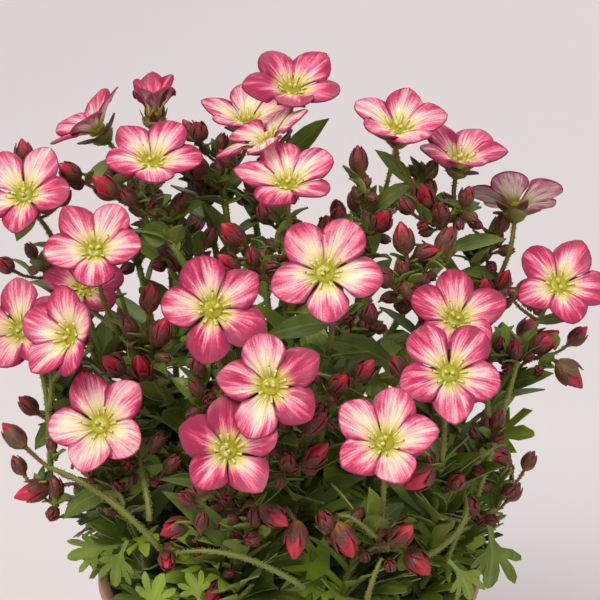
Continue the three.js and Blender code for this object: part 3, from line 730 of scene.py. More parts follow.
# Leaves that the photograph shows well: where each starts and ends in the picture, its depth behind the
# pot's axis, its width or 0 for a lobed one, and its tone
CLEAR_LEAVES = [
    ((310, 162), (329, 119), 8, 4.8, 0.4), ((386, 207), (375, 150), 0, 3.4, 0.25),
    ((383, 205), (362, 226), 0, 3.6, 0.3), ((476, 262), (506, 240), 2, 3.6, 0.35),
    ((481, 289), (460, 271), 0, 3.2, 0.35), ((508, 336), (538, 329), -8, 3.2, 0.3),
    ((559, 336), (577, 317), -6, 2.6, 0.3), ((110, 506), (63, 519), -50, 4.6, 0.25),
    ((168, 236), (140, 231), 0, 6, 0.3), ((222, 190), (247, 173), 0, 3.2, 0.2),
    ((208, 246), (180, 238), -8, 2.2, 0.7), ((28, 271), (17, 241), -10, 3.8, 0.4),
    ((58, 466), (35, 450), -26, 5, 0.3), ((355, 518), (369, 487), -52, 4.2, 0.6),
    ((236, 553), (242, 519), -55, 4.2, 0.6), ((198, 516), (161, 491), -50, 5.2, 0.2),
    ((196, 480), (160, 479), -48, 4.4, 0.1), ((152, 500), (167, 464), -42, 4.6, 0.5),
    ((326, 318), (264, 338), -34, 5, 0.15), ((346, 340), (396, 368), -32, 6, 0.15),
    ((488, 520), (487, 588), -30, 0, 0.35), ((118, 546), (68, 558), -34, 0, 0.45),
    ((128, 540), (116, 586), -40, 0, 0.4), ((150, 622), (164, 574), -56, 0, 0.66),
    ((200, 608), (186, 572), -58, 0, 0.6), ((448, 560), (470, 600), -48, 0, 0.5),
    ((156, 596), (110, 583), -16, 0, 0.3), ((150, 586), (107, 572), -8, 0, 0.15),
    ((162, 606), (114, 598), -22, 0, 0.5),
]

# Stems that the photograph shows well: their controls, as places in the picture and depths, and their radius
CLEAR_STEMS = [
    (((45, 466, -38), (106, 484, -54), (163, 552, -50)), 0.72),
    (((137, 450, -36), (148, 490, -50), (150, 521, -52)), 0.7),
    (((176, 553, -60), (236, 541, -66), (304, 588, -60)), 0.65),
    (((382, 558, -60), (371, 578, -64), (365, 610, -58)), 0.6),
    (((338, 517, -58), (347, 509, -60), (377, 538, -56)), 0.55),
    (((37, 358, -20), (53, 400, -26), (50, 482, -20)), 0.9),
    (((48, 360, -20), (54, 385, -24), (49, 410, -24)), 0.65),
    (((518, 362, -16), (506, 405, -26), (477, 496, -30)), 0.8),
    (((488, 390, -18), (487, 420, -24), (491, 450, -27)), 0.8),
    (((436, 444, -34), (446, 458, -38), (454, 476, -40)), 0.6),
    (((463, 491, -40), (480, 530, -50), (418, 560, -52)), 0.75),
    (((470, 516, -42), (456, 532, -46), (447, 564, -44)), 0.5),
]


def smooth(t):
    """A soft step from 0 to 1"""
    t = min(1, max(0, t))
    return t * t * (3 - 2 * t)


def mix(low, high, share):
    return low + (high - low) * share


def meets_bloom(point, radius):
    return any(
        owner.startswith("bloom") and (point - other).length < radius + other_radius
        for other, other_radius, owner in near(point)
    )


def seen(u, v, depth):
    """What the photograph's camera sees at a place in the picture, at a depth behind the pot's axis"""
    ahead = Vector((0, math.cos(CAMERA_RISE), -math.sin(CAMERA_RISE)))
    above = Vector((0, math.sin(CAMERA_RISE), math.cos(CAMERA_RISE)))
    eye = CAMERA_AIM - ahead * CAMERA_DISTANCE
    middle = PHOTO_WIDTH / 2
    ray = ahead + (Vector((1, 0, 0)) * (u - middle) + above * (middle - v)) / FOCAL_PIXELS
    return eye + ray * ((depth - eye.y) / ray.y)


# Templates: across from -1 to 1, along from 0 to 1, lift from -0.5 to 0.5
def keep(bm, name):
    mesh = bpy.data.meshes.new(name)
    bm.to_mesh(mesh)
    bm.free()
    return mesh


def thicken(bm, rim=0):
    """Gives a flat blade its thickness, with sharp rims, and its underside the second material"""
    bmesh.ops.recalc_face_normals(bm, faces=bm.faces)
    bmesh.ops.solidify(bm, geom=bm.faces[:], thickness=1)
    middle = sum(vert.co.z for vert in bm.verts) / len(bm.verts)
    bmesh.ops.translate(bm, verts=bm.verts, vec=(0, 0, -middle))
    bmesh.ops.recalc_face_normals(bm, faces=bm.faces)
    for face in bm.faces:
        face.material_index = 1 if face.normal.z < -0.5 else 0 if face.normal.z > 0.5 else rim
    for edge in bm.edges:
        edge.smooth = edge.calc_face_angle() < SHARP_ANGLE


def blade_template(columns, rows, rim=0):
    """A thin closed blade, its columns closer together at its sides"""
    bm = bmesh.new()
    bmesh.ops.create_grid(bm, x_segments=columns, y_segments=rows, size=1)
    for vert in bm.verts:
        vert.co = (math.sin(vert.co.x * math.pi / 2), (vert.co.y + 1) / 2, 0)
    thicken(bm, rim)
    return keep(bm, "blade")


def tube_template(sides, rows):
    """A round closed wall of radius 1 along its length"""
    bm = bmesh.new()
    turn = Matrix.Translation((0, 0.5, 0)) @ Matrix.Rotation(-math.pi / 2, 4, "X")
    bmesh.ops.create_cone(bm, cap_ends=True, segments=sides, radius1=1, radius2=1, depth=1, matrix=turn)
    for k in range(1, rows):
        everything = bm.verts[:] + bm.edges[:] + bm.faces[:]
        bmesh.ops.bisect_plane(bm, geom=everything, plane_co=(0, k / rows, 0), plane_no=(0, 1, 0))
    bmesh.ops.recalc_face_normals(bm, faces=bm.faces)
    return keep(bm, "tube")


def ball_template(sides, rows):
    bm = bmesh.new()
    bmesh.ops.create_uvsphere(bm, u_segments=sides, v_segments=rows, radius=1)
    return keep(bm, "ball")


# Half the outline of a basal leaf of full length: stalk, outer lobe, side lobe, middle lobe. The first is for
# the many leaves of the cushion, the second for the few that stand clear. The cuts let a leaf bend
HALF_LEAF = [
    (0.8, 0), (1, 7), (6, 9.6), (8, 12), (4.1, 12.4), (7.2, 16.6), (6.7, 19.2), (1.9, 13.6), (2.5, 17.4),
    (1.1, 21.2),
]
HALF_CLEAR_LEAF = [
    (0.8, 0), (0.9, 6.5), (2.6, 9), (5.6, 9.8), (7.9, 11.4), (8, 12.6), (6.4, 13.1), (4.1, 12.3), (6.2, 14.8),
    (7.3, 17.2), (7, 19.2), (5, 18.2), (3.4, 15.8), (1.9, 13.2), (2.5, 16), (2.3, 19), (1.2, 21.2),
]
LEAF_CUTS = (7, 12.4, 16.4)
CLEAR_LEAF_CUTS = (4, 9, 12.4, 15.4, 18.4)


def leaf_template(half, heights):
    """A lobed basal leaf, cut across at some heights and along its midrib"""
    bm = bmesh.new()
    mirrored = [(-x, y) for x, y in reversed(half)]
    outline = half + [(0, LEAF_LENGTH)] + mirrored
    bm.faces.new([bm.verts.new((x / LEAF_HALF_WIDTH, y / LEAF_LENGTH, 0)) for x, y in outline])
    cuts = [((0, y / LEAF_LENGTH, 0), (0, 1, 0)) for y in heights] + [((0, 0, 0), (1, 0, 0))]
    for place, normal in cuts:
        everything = bm.verts[:] + bm.edges[:] + bm.faces[:]
        bmesh.ops.bisect_plane(bm, geom=everything, plane_co=place, plane_no=normal)
    thicken(bm, 2)
    return keep(bm, "leaf")


def hair_template(draws):
    """A sleeve of hairs that stand off radius 1 by up to a hair's length"""
    bm = bmesh.new()
    for k in range(HAIRS_PER_SLEEVE):
        around = draws.turn()
        outward = Vector((math.cos(around), 0, math.sin(around)))
        lean = (outward + Vector((0, draws.between(-0.15, 0.35), 0))).normalized()
        reach = draws.between(0.5, 1)
        middle = outward * 0.97 + Vector((0, (k + 0.5) / HAIRS_PER_SLEEVE, 0)) + lean * reach / 2
        turn = Matrix.Translation(middle) @ lean.to_track_quat("Z", "Y").to_matrix().to_4x4()
        thick = HAIR_RADIUS / HAIR_LENGTH
        bmesh.ops.create_cone(
            bm, cap_ends=True, segments=3, radius1=thick, radius2=0, depth=reach, matrix=turn,
        )
    return keep(bm, "hairs")


class Line:
    """A round line through points with a radius at each: a stem, a stalk, a thread"""

    def __init__(self, points, radii):
        self.points = points
        self.radii = radii
        self.last = len(points) - 1
        self.frames = []
        normal = Vector((0.12, 1, 0.07))
        for k in range(len(points)):
            tangent = (points[min(self.last, k + 1)] - points[max(0, k - 1)]).normalized()
            normal = (normal - tangent * normal.dot(tangent)).normalized()
            self.frames.append((normal.copy(), tangent.cross(normal)))

    def skin(self, x, along, z):
        """A point at radius 1 lies on the line's wall, and one further out stands off it as a hair does"""
        place = min(1, max(0, along)) * self.last
        k = min(int(place), self.last - 1)
        part = place - k
        centre = self.points[k].lerp(self.points[k + 1], part)
        radius = mix(self.radii[k], self.radii[k + 1], part)
        normal, across = (a.lerp(b, part) for a, b in zip(self.frames[k], self.frames[k + 1]))
        reach = math.hypot(x, z)
        proud = max(0, reach - 1) * HAIR_LENGTH
        wide = (min(1, reach) * radius + proud) / max(reach, 0.001)
        return centre + normal * (x * wide) - across * (z * wide)

    def length(self):
        return sum(lengths_of(self.points))


class Growth:
    """A piece while it grows: copies of templates, each point set by a rule and marked with a few numbers"""

    MARKS = ("across", "along", "tone", "hair")

    def __init__(self):
        self.mesh = bmesh.new()
        self.marks = {name: self.mesh.verts.layers.float.new(name) for name in self.MARKS}

    def add(self, template, rule, material=0, **marks):
        first_vert = len(self.mesh.verts)
        first_face = len(self.mesh.faces)
        self.mesh.from_mesh(template)
        self.mesh.verts.ensure_lookup_table()
        self.mesh.faces.ensure_lookup_table()
        for vert in self.mesh.verts[first_vert:]:
            across, along, lift = vert.co
            for name, value in {"across": across, "along": along, **marks}.items():
                vert[self.marks[name]] = value
            vert.co = rule(across, along, lift)
        for face in self.mesh.faces[first_face:]:
            face.material_index += material
            face.smooth = True

    def finish(self, name, finishes, node, slot):
        """Puts the piece in metres and hands it to the frame"""
        bmesh.ops.transform(self.mesh, matrix=Matrix.Scale(MM, 4), verts=self.mesh.verts)
        place_piece(name, keep(self.mesh, name), finishes, node)


def place_piece(name, mesh, finishes, node):
    """Adds a finished piece in place of a node of the frame"""
    piece = bpy.data.objects.new(name, mesh)
    bpy.context.scene.collection.objects.link(piece)
    for finish in finishes:
        mesh.materials.append(finish.material)
    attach(piece, "root")
    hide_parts(node)


# Finishes
def linear(colour):
    """An sRGB hex colour as the linear numbers that a shader takes"""
    channels = [int(colour[i:i + 2], 16) / 255 for i in (1, 3, 5)]
    return [c / 12.92 if c <= 0.04045 else ((c + 0.055) / 1.055) ** 2.4 for c in channels] + [1]


class Finish:
    """A material while it is made, which can read the marks that a growth leaves on its points"""

    def __init__(self, name, sockets, marks=()):
        self.material = bpy.data.materials.new(name)
        self.material.use_nodes = True
        self.tree = self.material.node_tree
        self.shader = self.tree.nodes["Principled BSDF"]
        for socket, value in sockets.items():
            self.shader.inputs[socket].default_value = value
        self.marks = [self.add("Attribute", out="Fac", attribute_name=mark) for mark in marks]

    def add(self, kind, inputs=(), out=0, stops=(), **settings):
        """Adds a node with its settings, inputs and colour stops, and gives one of its outputs"""
        made = self.tree.nodes.new("ShaderNode" + kind)
        for name, value in settings.items():
            setattr(made, name, value)
        for socket, value in (inputs if isinstance(inputs, dict) else dict(enumerate(inputs))).items():
            if isinstance(value, bpy.types.NodeSocket):
                self.tree.links.new(value, made.inputs[socket])
            else:
                made.inputs[socket].default_value = linear(value) if isinstance(value, str) else value
        for k, (place, colour) in enumerate(stops):
            ramp = made.color_ramp.elements
            stop = ramp[k] if k < len(ramp) else ramp.new(place)
            stop.position = place
            stop.color = linear(colour)
        return made.outputs[out]

    def blade_place(self, seed_step):
        """A point's place on its blade, moved on by the blade's tone so that no two blades look alike"""
        across, along, tone = self.marks[:3]
        seed = self.add("Math", [tone, seed_step], operation="MULTIPLY")
        return self.add("CombineXYZ", [across, along, seed])

    def streaks(self, place, wide, long, detail, roughness=0.5):
        """A noise over a blade, by how often it changes across and along the blade"""
        vector = self.add("VectorMath", [place, (wide, long, 1)], operation="MULTIPLY")
        return self.add("TexNoise", {
            "Vector": vector, "Scale": 1.0, "Detail": detail, "Roughness": roughness,
        })

    def sway(self, value, parts):
        """Moves a value by how far each pattern is from its middle, by the pattern's share"""
        for pattern, share, middle in parts:
            away = self.add("Math", [pattern, middle], operation="SUBTRACT")
            value = self.add("Math", [away, share, value], operation="MULTIPLY_ADD")
        return value

    def wear(self, colour, relief, strength, depth):
        """Links the colour, and a relief of a strength and a depth in millimetres, to the shader"""
        bump = self.add("Bump", {"Strength": strength, "Distance": depth * MM, "Height": relief})
        self.tree.links.new(colour, self.shader.inputs["Base Color"])
        self.tree.links.new(bump, self.shader.inputs["Normal"])


def petal_finish(name, stops, edge_colour, paleness):
    """Living petal, soft and a little translucent: green-yellow foot, cream, then crimson along its veins"""
    m = Finish(name, {
        "Roughness": 0.5, "Subsurface Weight": 0.12, "Subsurface Scale": 0.0008,
    }, ("across", "along", "tone"))
    across, along, rose = m.marks
    side = m.add("Math", [across], operation="ABSOLUTE")
    place = m.blade_place(91.7)

    # Flames 2 mm wide, streaks of 0.6 mm and veins of 0.4 mm along the petal, and its cells
    flame = m.streaks(place, 2.5, 1.3, 2.0, 0.6)
    fine = m.streaks(place, 7.0, 1.6, 3.0, 0.6)
    vein = m.streaks(place, 12.0, 1.3, 1.0, 0.6)
    cells = m.streaks(place, 15.0, 36.0, 1.0, 0.6)
    pink = m.add("Math", [along, 0.95, -0.09], operation="MULTIPLY_ADD")
    rim = m.add("Math", [side, 3.0], operation="POWER")
    pink = m.add("Math", [rim, 0.26, pink], operation="MULTIPLY_ADD")
    pink = m.sway(pink, (
        (flame, 1.45, 0.5), (fine, 0.6, 0.5), (vein, 0.5, 0.5), (cells, 0.35, 0.5),
        (rose, 0.7, 0.5 + paleness),
    ))
    colour = m.add("ValToRGB", [pink], stops=stops)
    ragged = m.add("Math", [fine, 0.3, along], operation="MULTIPLY_ADD")
    layers = (
        ("#b31a5a", ((vein, 0.54, 0.66), (along, 0.3, 0.5)), 0.4),
        ("#d4c466", ((ragged, 0.62, 0.3),), 0.9),
        ("#a8a014", ((along, 0.27, 0.12),), 0.75),
        ("#85882c", ((vein, 0.53, 0.62), (along, 0.5, 0.24)), 0.6),
        (edge_colour, ((side, 0.93, 0.99), (along, 0.05, 0.3)), 0.85),
        (edge_colour, ((along, 0.965, 0.995),), 0.85),
    )
    for layer_colour, steps, share in layers:
        for value, low, high in steps:
            step = m.add("MapRange", [value, low, high, 0.0, 1.0], interpolation_type="SMOOTHSTEP")
            share = m.add("Math", [step, share], operation="MULTIPLY")
        colour = m.add("Mix", {0: share, 6: colour, 7: layer_colour}, out=2, data_type="RGBA")
    m.wear(colour, fine, 0.35, 0.4)
    return m


def heart_finish():
    """Moist ovary, cream styles and threads, pollen-yellow to brown anthers: smooth, so that it glistens"""
    m = Finish("lime_ovary_and_cream_threads", {
        "Roughness": 0.3, "Subsurface Weight": 0.1, "Subsurface Scale": 0.001,
    }, ("tone",))
    colour = m.add("ValToRGB", m.marks, stops=(
        (0.0, "#848802"), (0.3, "#aaa404"), (0.5, "#dccf66"), (0.75, "#e6d890"), (0.85, "#b88c36"),
        (1.0, "#4f3014"),
    ))
    place = m.add("TexCoord", out="Object")
    grain = m.add("TexNoise", {"Vector": place, "Scale": 1800.0, "Detail": 2.0})
    pale = m.add("Math", [grain, 0.3], operation="MULTIPLY")
    m.wear(m.add("Mix", {0: pale, 6: colour, 7: "#b4ac1a"}, out=2, data_type="RGBA"), grain, 0.25, 0.3)
    return m


def skin_finish(
    name, sockets, stops, rib_width=0.01, rib_share=0.0, hair_colour="#b0a878", mottle_size=5,
    relief_depth=0.4,
):
    """Green skin of leaf or stem: coloured by its age, with a mottle, a paler rib and pale hairs"""
    m = Finish(name, sockets, Growth.MARKS)
    across, along, tone, hair = m.marks
    place = m.add("TexCoord", out="Object")
    mottle = m.add("TexNoise", {"Vector": place, "Scale": 1 / (mottle_size * MM), "Detail": 3.0})
    veins = m.streaks(m.blade_place(67.0), 9, 2.5, 2.0)
    age = m.sway(tone, ((mottle, 0.6, 0.5), (veins, 0.5, 0.5)))
    colour = m.add("ValToRGB", [age], stops=stops)
    side = m.add("Math", [across], operation="ABSOLUTE")
    rib = m.add("MapRange", [side, rib_width, 0.0, 0.0, rib_share], interpolation_type="SMOOTHSTEP")
    for share, layer_colour in ((rib, "#8fa040"), (hair, hair_colour)):
        colour = m.add("Mix", {0: share, 6: colour, 7: layer_colour}, out=2, data_type="RGBA")
    grain = m.add("TexNoise", {"Vector": place, "Scale": 1500.0, "Detail": 3.0})
    m.wear(colour, grain, 0.3, relief_depth)
    return m


def sepal_finish():
    """Leathery sepal: green-brown at its foot, dark purple above, with a paler edge and short grey hairs"""
    m = Finish("purple_sepal", {"Roughness": 0.55}, Growth.MARKS)
    across, along, tone, hair = m.marks
    side = m.add("Math", [across], operation="ABSOLUTE")
    fine = m.streaks(m.blade_place(53.0), 3, 2, 3.0)
    shade = m.sway(along, [(fine, 0.9, 0.5)])
    colour = m.add("ValToRGB", [shade], stops=(
        (0.0, "#86702a"), (0.12, "#7a4a18"), (0.3, "#5e2d1a"), (0.5, "#451c12"), (0.7, "#5c271a"),
        (1.0, "#782a26"),
    ))
    unripe = m.add("MapRange", [tone, 0.7, 1.0, 0.0, 0.45], interpolation_type="SMOOTHSTEP")
    down = m.add("TexNoise", {"Vector": m.add("TexCoord", out="Object"), "Scale": 2600.0, "Detail": 1.0})
    edge = m.add("MapRange", [side, 0.65, 1.0, 0.0, 0.4], interpolation_type="SMOOTHSTEP")
    fleck = m.add("MapRange", [down, 0.55, 0.7, 0.0, 0.4], interpolation_type="SMOOTHSTEP")
    layers = ((unripe, "#5f5a2a"), (edge, "#84453c"), (fleck, "#7e6050"), (hair, "#9c8268"))
    for share, layer_colour in layers:
        colour = m.add("Mix", {0: share, 6: colour, 7: layer_colour}, out=2, data_type="RGBA")
    m.wear(colour, down, 0.5, 0.3)
    return m


def bud_petal_finish():
    """Folded crimson petals, shut tight, with darker creases"""
    m = Finish("crimson_bud_petal", {
        "Roughness": 0.45, "Subsurface Weight": 0.08, "Subsurface Scale": 0.001,
    }, ("across", "along", "tone"))
    fine = m.streaks(m.blade_place(41.0), 3, 1.5, 3.0)
    shade = m.sway(fine, [(m.marks[2], 0.4, 0.7)])
    colour = m.add("ValToRGB", [shade], stops=(
        (0.1, "#38070f"), (0.35, "#860c22"), (0.55, "#b51434"), (0.8, "#d43f58"),
    ))
    m.wear(colour, fine, 0.4, 0.4)
    return m


def pot_finish():
    """Moulded polypropylene, coloured through as terracotta: matt, with a faint cloud and a fine grain"""
    m = Finish("terracotta_polypropylene", {"Roughness": 0.58})
    place = m.add("TexCoord", out="Object")
    cloud = m.add("TexNoise", {"Vector": place, "Scale": 38.0, "Detail": 4.0})
    grain = m.add("TexNoise", {"Vector": place, "Scale": 1300.0, "Detail": 3.0})
    shade = m.add("Mix", {0: 0.4, 2: cloud, 3: grain})
    colour = m.add("ValToRGB", [shade], stops=((0.35, "#9d6f5a"), (0.5, "#aa7d69"), (0.65, "#b68b79")))
    m.wear(colour, grain, 0.2, 0.3)
    return m


def soil_finish():
    """Loose moist peat with crumbs of two to three millimetres: dark and quite dull"""
    m = Finish("moist_peat", {"Roughness": 0.95})
    place = m.add("TexCoord", out="Object")
    crumb = m.add("TexNoise", {"Vector": place, "Scale": 420.0, "Detail": 5.0})
    colour = m.add("ValToRGB", [crumb], stops=((0.3, "#15100c"), (0.55, "#2e231b"), (0.8, "#4a3828")))
    m.wear(colour, crumb, 1.0, 2)
    return m


# The pieces
class Garden:
    """The templates and finishes that the pieces share, and the draws that vary them"""

    def __init__(self):
        self.draws = Draws(PIECE_SEED)
        self.petal = blade_template(10, 11)
        self.sepal = blade_template(4, 5)
        self.small_sepal = blade_template(2, 4)
        self.lance = blade_template(4, 5, 2)
        self.leaf = leaf_template(HALF_LEAF, LEAF_CUTS)
        self.clear_leaf = leaf_template(HALF_CLEAR_LEAF, CLEAR_LEAF_CUTS)
        self.ball = ball_template(14, 8)
        self.bead = ball_template(6, 4)
        self.hairs = hair_template(self.draws)
        self.tubes = {}
        upper = (
            (0.1, "#eee0b8"), (0.27, "#eccdb4"), (0.44, "#eba8ae"), (0.64, "#dc6485"), (0.83, "#bc2254"),
            (1.0, "#920f40"),
        )
        # Partly painted light: the underside's own colour is a paler pink, and these stops are lifted further
        # towards white as painted glow for the light that shines through the thin petal
        under = ((0.1, "#f0e6c6"), (0.4, "#f4dad2"), (0.62, "#da8fa2"), (1.0, "#a63c60"))
        self.petal_finishes = [
            petal_finish("petal_upper_face", upper, "#7c1240", 0),
            petal_finish("petal_underside_painted_glow", under, "#9b3d60", 0.1),
        ]
        self.heart = heart_finish()
        leaf_skin = {
            "Roughness": 0.52, "Specular IOR Level": 0.45,
            "Subsurface Weight": 0.06, "Subsurface Scale": 0.001,
        }
        upper = ((0.0, "#39480f"), (0.3, "#576b19"), (0.6, "#728927"), (0.82, "#869f22"), (1.0, "#8ba81f"))
        under = ((0.0, "#626e2c"), (0.5, "#7c893c"), (1.0, "#97a648"))
        margin = ((0.0, "#4e5924"), (1.0, "#899547"))
        self.leaf_finishes = [
            skin_finish("leaf_upper_face", leaf_skin, upper, rib_width=0.14, rib_share=0.3),
            skin_finish("leaf_underside", leaf_skin, under, rib_width=0.2, rib_share=0.4),
            skin_finish("leaf_margin", leaf_skin, margin, relief_depth=0.2),
        ]
        bark = ((0.0, "#677c24"), (0.38, "#6f7524"), (0.6, "#684a1e"), (1.0, "#572416"))
        self.stem = skin_finish(
            "downy_stem", {"Roughness": 0.55}, bark, hair_colour="#a39a68", mottle_size=4, relief_depth=0.3,
        )
        self.sepal_finish = sepal_finish()
        self.bud_petal = bud_petal_finish()

    def tube(self, sides, rows):
        """The tube template with these sides and rows, made once"""
        if (sides, rows) not in self.tubes:
            self.tubes[sides, rows] = tube_template(sides, rows)
        return self.tubes[sides, rows]

    def grow_line(self, growth, points, radii, sides, material=0, **marks):
        line = Line(points, radii)
        growth.add(self.tube(sides, line.last), line.skin, material, **marks)
        return line

    def grow_downy_line(self, growth, points, radii, sides, tone, hair_tone):
        """A line with sleeves of hairs along it"""
        line = self.grow_line(growth, points, radii, sides, tone=tone)
        count = max(1, round(line.length() / SLEEVE_LENGTH))
        for k in range(count):
            turn = self.draws.turn()
            c, s = math.cos(turn), math.sin(turn)

            def rule(x, along, z):
                return line.skin(x * c - z * s, (k + along) / count, x * s + z * c)

            growth.add(self.hairs, rule, tone=hair_tone, hair=1)

    def petal_rule(self, bloom, petal):
        """A broad petal with a round tip, cupped at its foot, with lengthwise folds and a rippled edge"""
        draws = self.draws
        half = petal.width / 2
        length = petal.length
        cup = draws.between(0.3, 1.2)
        reflex = draws.between(0.2, 1.5)
        fold = draws.between(0.15, 0.3)
        folds = draws.between(1.4, 2.4)
        phase = draws.turn()
        ripple = draws.between(0.15, 0.4)
        ripple_phase = draws.turn()
        round_tip = draws.between(0.38, 0.52)
        point = draws.between(-0.03, 0.1)
        lean = draws.between(-0.6, 0.6)

        def rule(u, v, w):
            round_off = 1 - round_tip * math.sqrt(v) * (1 - math.sqrt(max(0, 1 - u * u)))
            along = length * v * (round_off + point * (math.exp(-(u / 0.4) ** 2) - 0.4) * v ** 5)
            across = half * u * (CLAW + (1 - CLAW) * smooth(v ** 0.9)) + lean * v * v
            lift = cup * u * u * v - reflex * max(0, (v - 0.5) / 0.5) ** 2
            lift += fold * math.cos(math.pi * folds * u + phase) * math.sin(math.pi * v ** 0.8 * 0.9)
            lift += ripple * abs(u) ** 3 * v * math.sin(9 * v + ripple_phase)
            return bloom.petal_point(petal, across, along, lift + w * PETAL_THICK)

        return rule

    def grow_heart(self, bloom, growth, material):
        """The flat-topped ovary with its groove, its two styles, and the stamens over the petals' feet"""
        draws = self.draws
        turn = draws.between(0, math.pi)
        c, s = math.cos(turn), math.sin(turn)
        size = bloom.size
        rise = math.radians(min(75, bloom.petals[0].pitch + 14))

        def spot(x, y, z):
            return bloom.spot((x * c - y * s) * size, (x * s + y * c) * size, z * size)

        def dome(x, y, z):
            groove = 0.3 * math.exp(-(x / 0.2) ** 2) * max(0, z)
            crown = math.copysign(math.sqrt(abs(z)), z)
            return spot(x * HEART_WIDTH, y * HEART_WIDTH, crown * HEART_HEIGHT - groove + 0.2)

        growth.add(self.ball, dome, material, tone=draws.between(0.05, 0.3))
        for way in (-1, 1):
            base = spot(way * 0.4, 0, STYLE_FOOT)
            tip = spot(way * draws.between(0.7, 1.5), draws.between(-0.5, 0.5), STYLE_TOP)
            middle = base.lerp(tip, 0.5) + bloom.face * 0.25
            self.grow_line(growth, [base, middle, tip], [0.55, 0.42, 0.5], 6, material, tone=STYLE_TONE)
        for k in range(STAMENS):
            around = FULL_TURN * (k + draws.between(-0.25, 0.25)) / STAMENS
            x, y = math.cos(around), math.sin(around)
            is_spent = draws.between(0, 1) > FRESH_SHARE
            reach = draws.between(2.6, 3.4) if is_spent else draws.between(1.2, 2.6)
            out = STAMEN_RING + reach * math.cos(rise)
            height = STAMEN_FOOT + reach * math.sin(rise)
            base = spot(x * STAMEN_RING, y * STAMEN_RING, STAMEN_FOOT)
            tip = spot(x * out, y * out, height)
            middle = base.lerp(tip, 0.5) + bloom.face * 0.2
            self.grow_line(growth, [base, middle, tip], [0.34, 0.3, 0.22], 5, material, tone=THREAD_TONE)
            wide = draws.between(0.2, 0.27) if is_spent else draws.between(0.32, 0.44)

            def anther(px, py, pz):
                beside = tip + bloom.right * (px * wide) + bloom.top * (py * wide)
                return beside + bloom.face * (pz * wide * 0.7)

            growth.add(self.bead, anther, material, tone=SPENT_TONE if is_spent else POLLEN_TONE)

    def make_bloom(self, bloom, rose):
        """An open bloom, as deeply coloured as its place in ROSE says"""
        growth = Growth()
        side = FLUSHED.get(bloom.name)
        for petal in bloom.petals:
            deeper = 0 if side is None else 0.5 * max(0, math.cos(petal.angle - math.radians(side)))
            tone = rose + deeper + self.draws.between(-0.16, 0.16)
            growth.add(self.petal, self.petal_rule(bloom, petal), tone=tone)
        self.grow_heart(bloom, growth, 2)
        growth.finish(bloom.name + "_flower", [*self.petal_finishes, self.heart], bloom.name, "petal")

    def leaf_rule(self, leaf):
        """A lobed leaf, a little folded at its midrib and wavy"""
        draws = self.draws
        scale = leaf.length / LEAF_LENGTH
        wave = draws.between(0.2, 0.8)
        phase = draws.turn()
        fold = draws.between(0, 0.25)

        def rule(u, v, w):
            across = u * LEAF_HALF_WIDTH * scale
            lift = wave * abs(u) * math.sin(5 * v + 2 * u + phase) + fold * abs(across)
            return leaf.point(across, v * LEAF_LENGTH * scale, lift + w * LEAF_THICK)

        return rule

    def lance_rule(self, leaf):
        """A lance-shaped leaf, folded at its midrib"""
        draws = self.draws
        fold = draws.between(0.1, 0.4)
        wave = draws.between(0, 0.3)
        phase = draws.turn()

        def rule(u, v, w):
            wide = 0.3 * (1 - v) + 0.98 * math.sin(math.pi * min(1, v ** 0.85)) ** 0.85
            across = u * leaf.width / 2 * wide
            lift = fold * abs(across) + wave * math.sin(6 * v + phase) * abs(u)
            return leaf.point(across, v * leaf.length, lift + w * LEAF_THICK)

        return rule

    def fits(self, spheres):
        """Whether a leaf clears the pot and the blooms, within the cushion and off the pot's bare edge"""
        for point, radius in spheres:
            from_axis = math.hypot(point.x, point.y)
            sprawls = point.z < CUSHION_TOP and from_axis > CUSHION_RADIUS
            hides_edge = is_bare(point) and from_axis > BARE_RING
            if sprawls or hides_edge or touches_pot(point, radius * 0.6) or meets_bloom(point, radius):
                return False
        return True

    def place_clear_parts(self, clumps):
        """Gives each leaf and stem that the photograph shows well to the clump that it grows on"""
        places = []
        for clump in clumps:
            for stem in clump.stems:
                for points in (stem.line, *[pedicel.spaced(4) for pedicel in stem.pedicels]):
                    places += [(spot, clump) for spot in spots_along(points, FINE_SPACING, 0.1)]
        for start, end, depth, width, tone in CLEAR_LEAVES:
            wanted = seen(*start, depth)
            root, clump = min(places, key=lambda place: (place[0] - wanted).length)
            root = root if width else wanted
            reach = seen(*end, root.y) - root
            way = math.copysign(1, reach.x)
            droop = self.draws.between(15, 40)
            leaf = Leaf(
                root=root,
                heading=0 if way > 0 else math.pi,
                pitch=math.degrees(math.atan2(reach.z, abs(reach.x))) + droop / 2,
                droop=droop,
                roll=way * self.draws.between(60, 85),
                length=reach.length * 1.02,
                width=width,
            )
            clump.clear_leaves.append((leaf, tone))
        for controls, radius in CLEAR_STEMS:
            way = Curve(*[seen(*control) for control in controls])
            _, clump = min(places, key=lambda place: (place[0] - way.at(1)).length)
            clump.clear_stems.append((way, radius))

    def more_leaves(self, clump):
        """More lobed leaves on the shoot and low on the stems, for a cushion as full as in the photograph"""
        draws = self.draws
        _, collar, top = clump.shoot
        x, y = clump.foot
        outward = math.atan2(y, x)
        is_outer = math.hypot(x, y) > OUTER_RING
        leaves = []
        for _ in range(EXTRA_LEAVES):
            share = draws.between(0, 1.1)
            heading = outward + draws.between(-1.5, 1.5) if is_outer else draws.turn()
            leaves.append(Leaf(
                root=collar.lerp(top, 0.15 + 0.85 * share),
                heading=heading,
                pitch=mix(25, 75, share) + draws.between(-16, 16),
                droop=draws.between(40, 125),
                roll=OUTWARD_ROLL * math.sin(heading - outward) + draws.between(-20, 20),
                length=LEAF_LENGTH * draws.between(0.8, 1.3),
            ))
        for stem in clump.stems:
            for _ in range(LOW_STEM_LEAVES):
                leaves.append(Leaf(
                    root=point_along(stem.line, draws.between(0.03, 0.5)),
                    heading=draws.turn(),
                    pitch=draws.between(30, 75),
                    droop=draws.between(40, 110),
                    roll=draws.between(-40, 40),
                    length=LEAF_LENGTH * draws.between(0.65, 1.05),
                ))
        return [leaf for leaf in leaves if self.fits(leaf_spheres(leaf))]

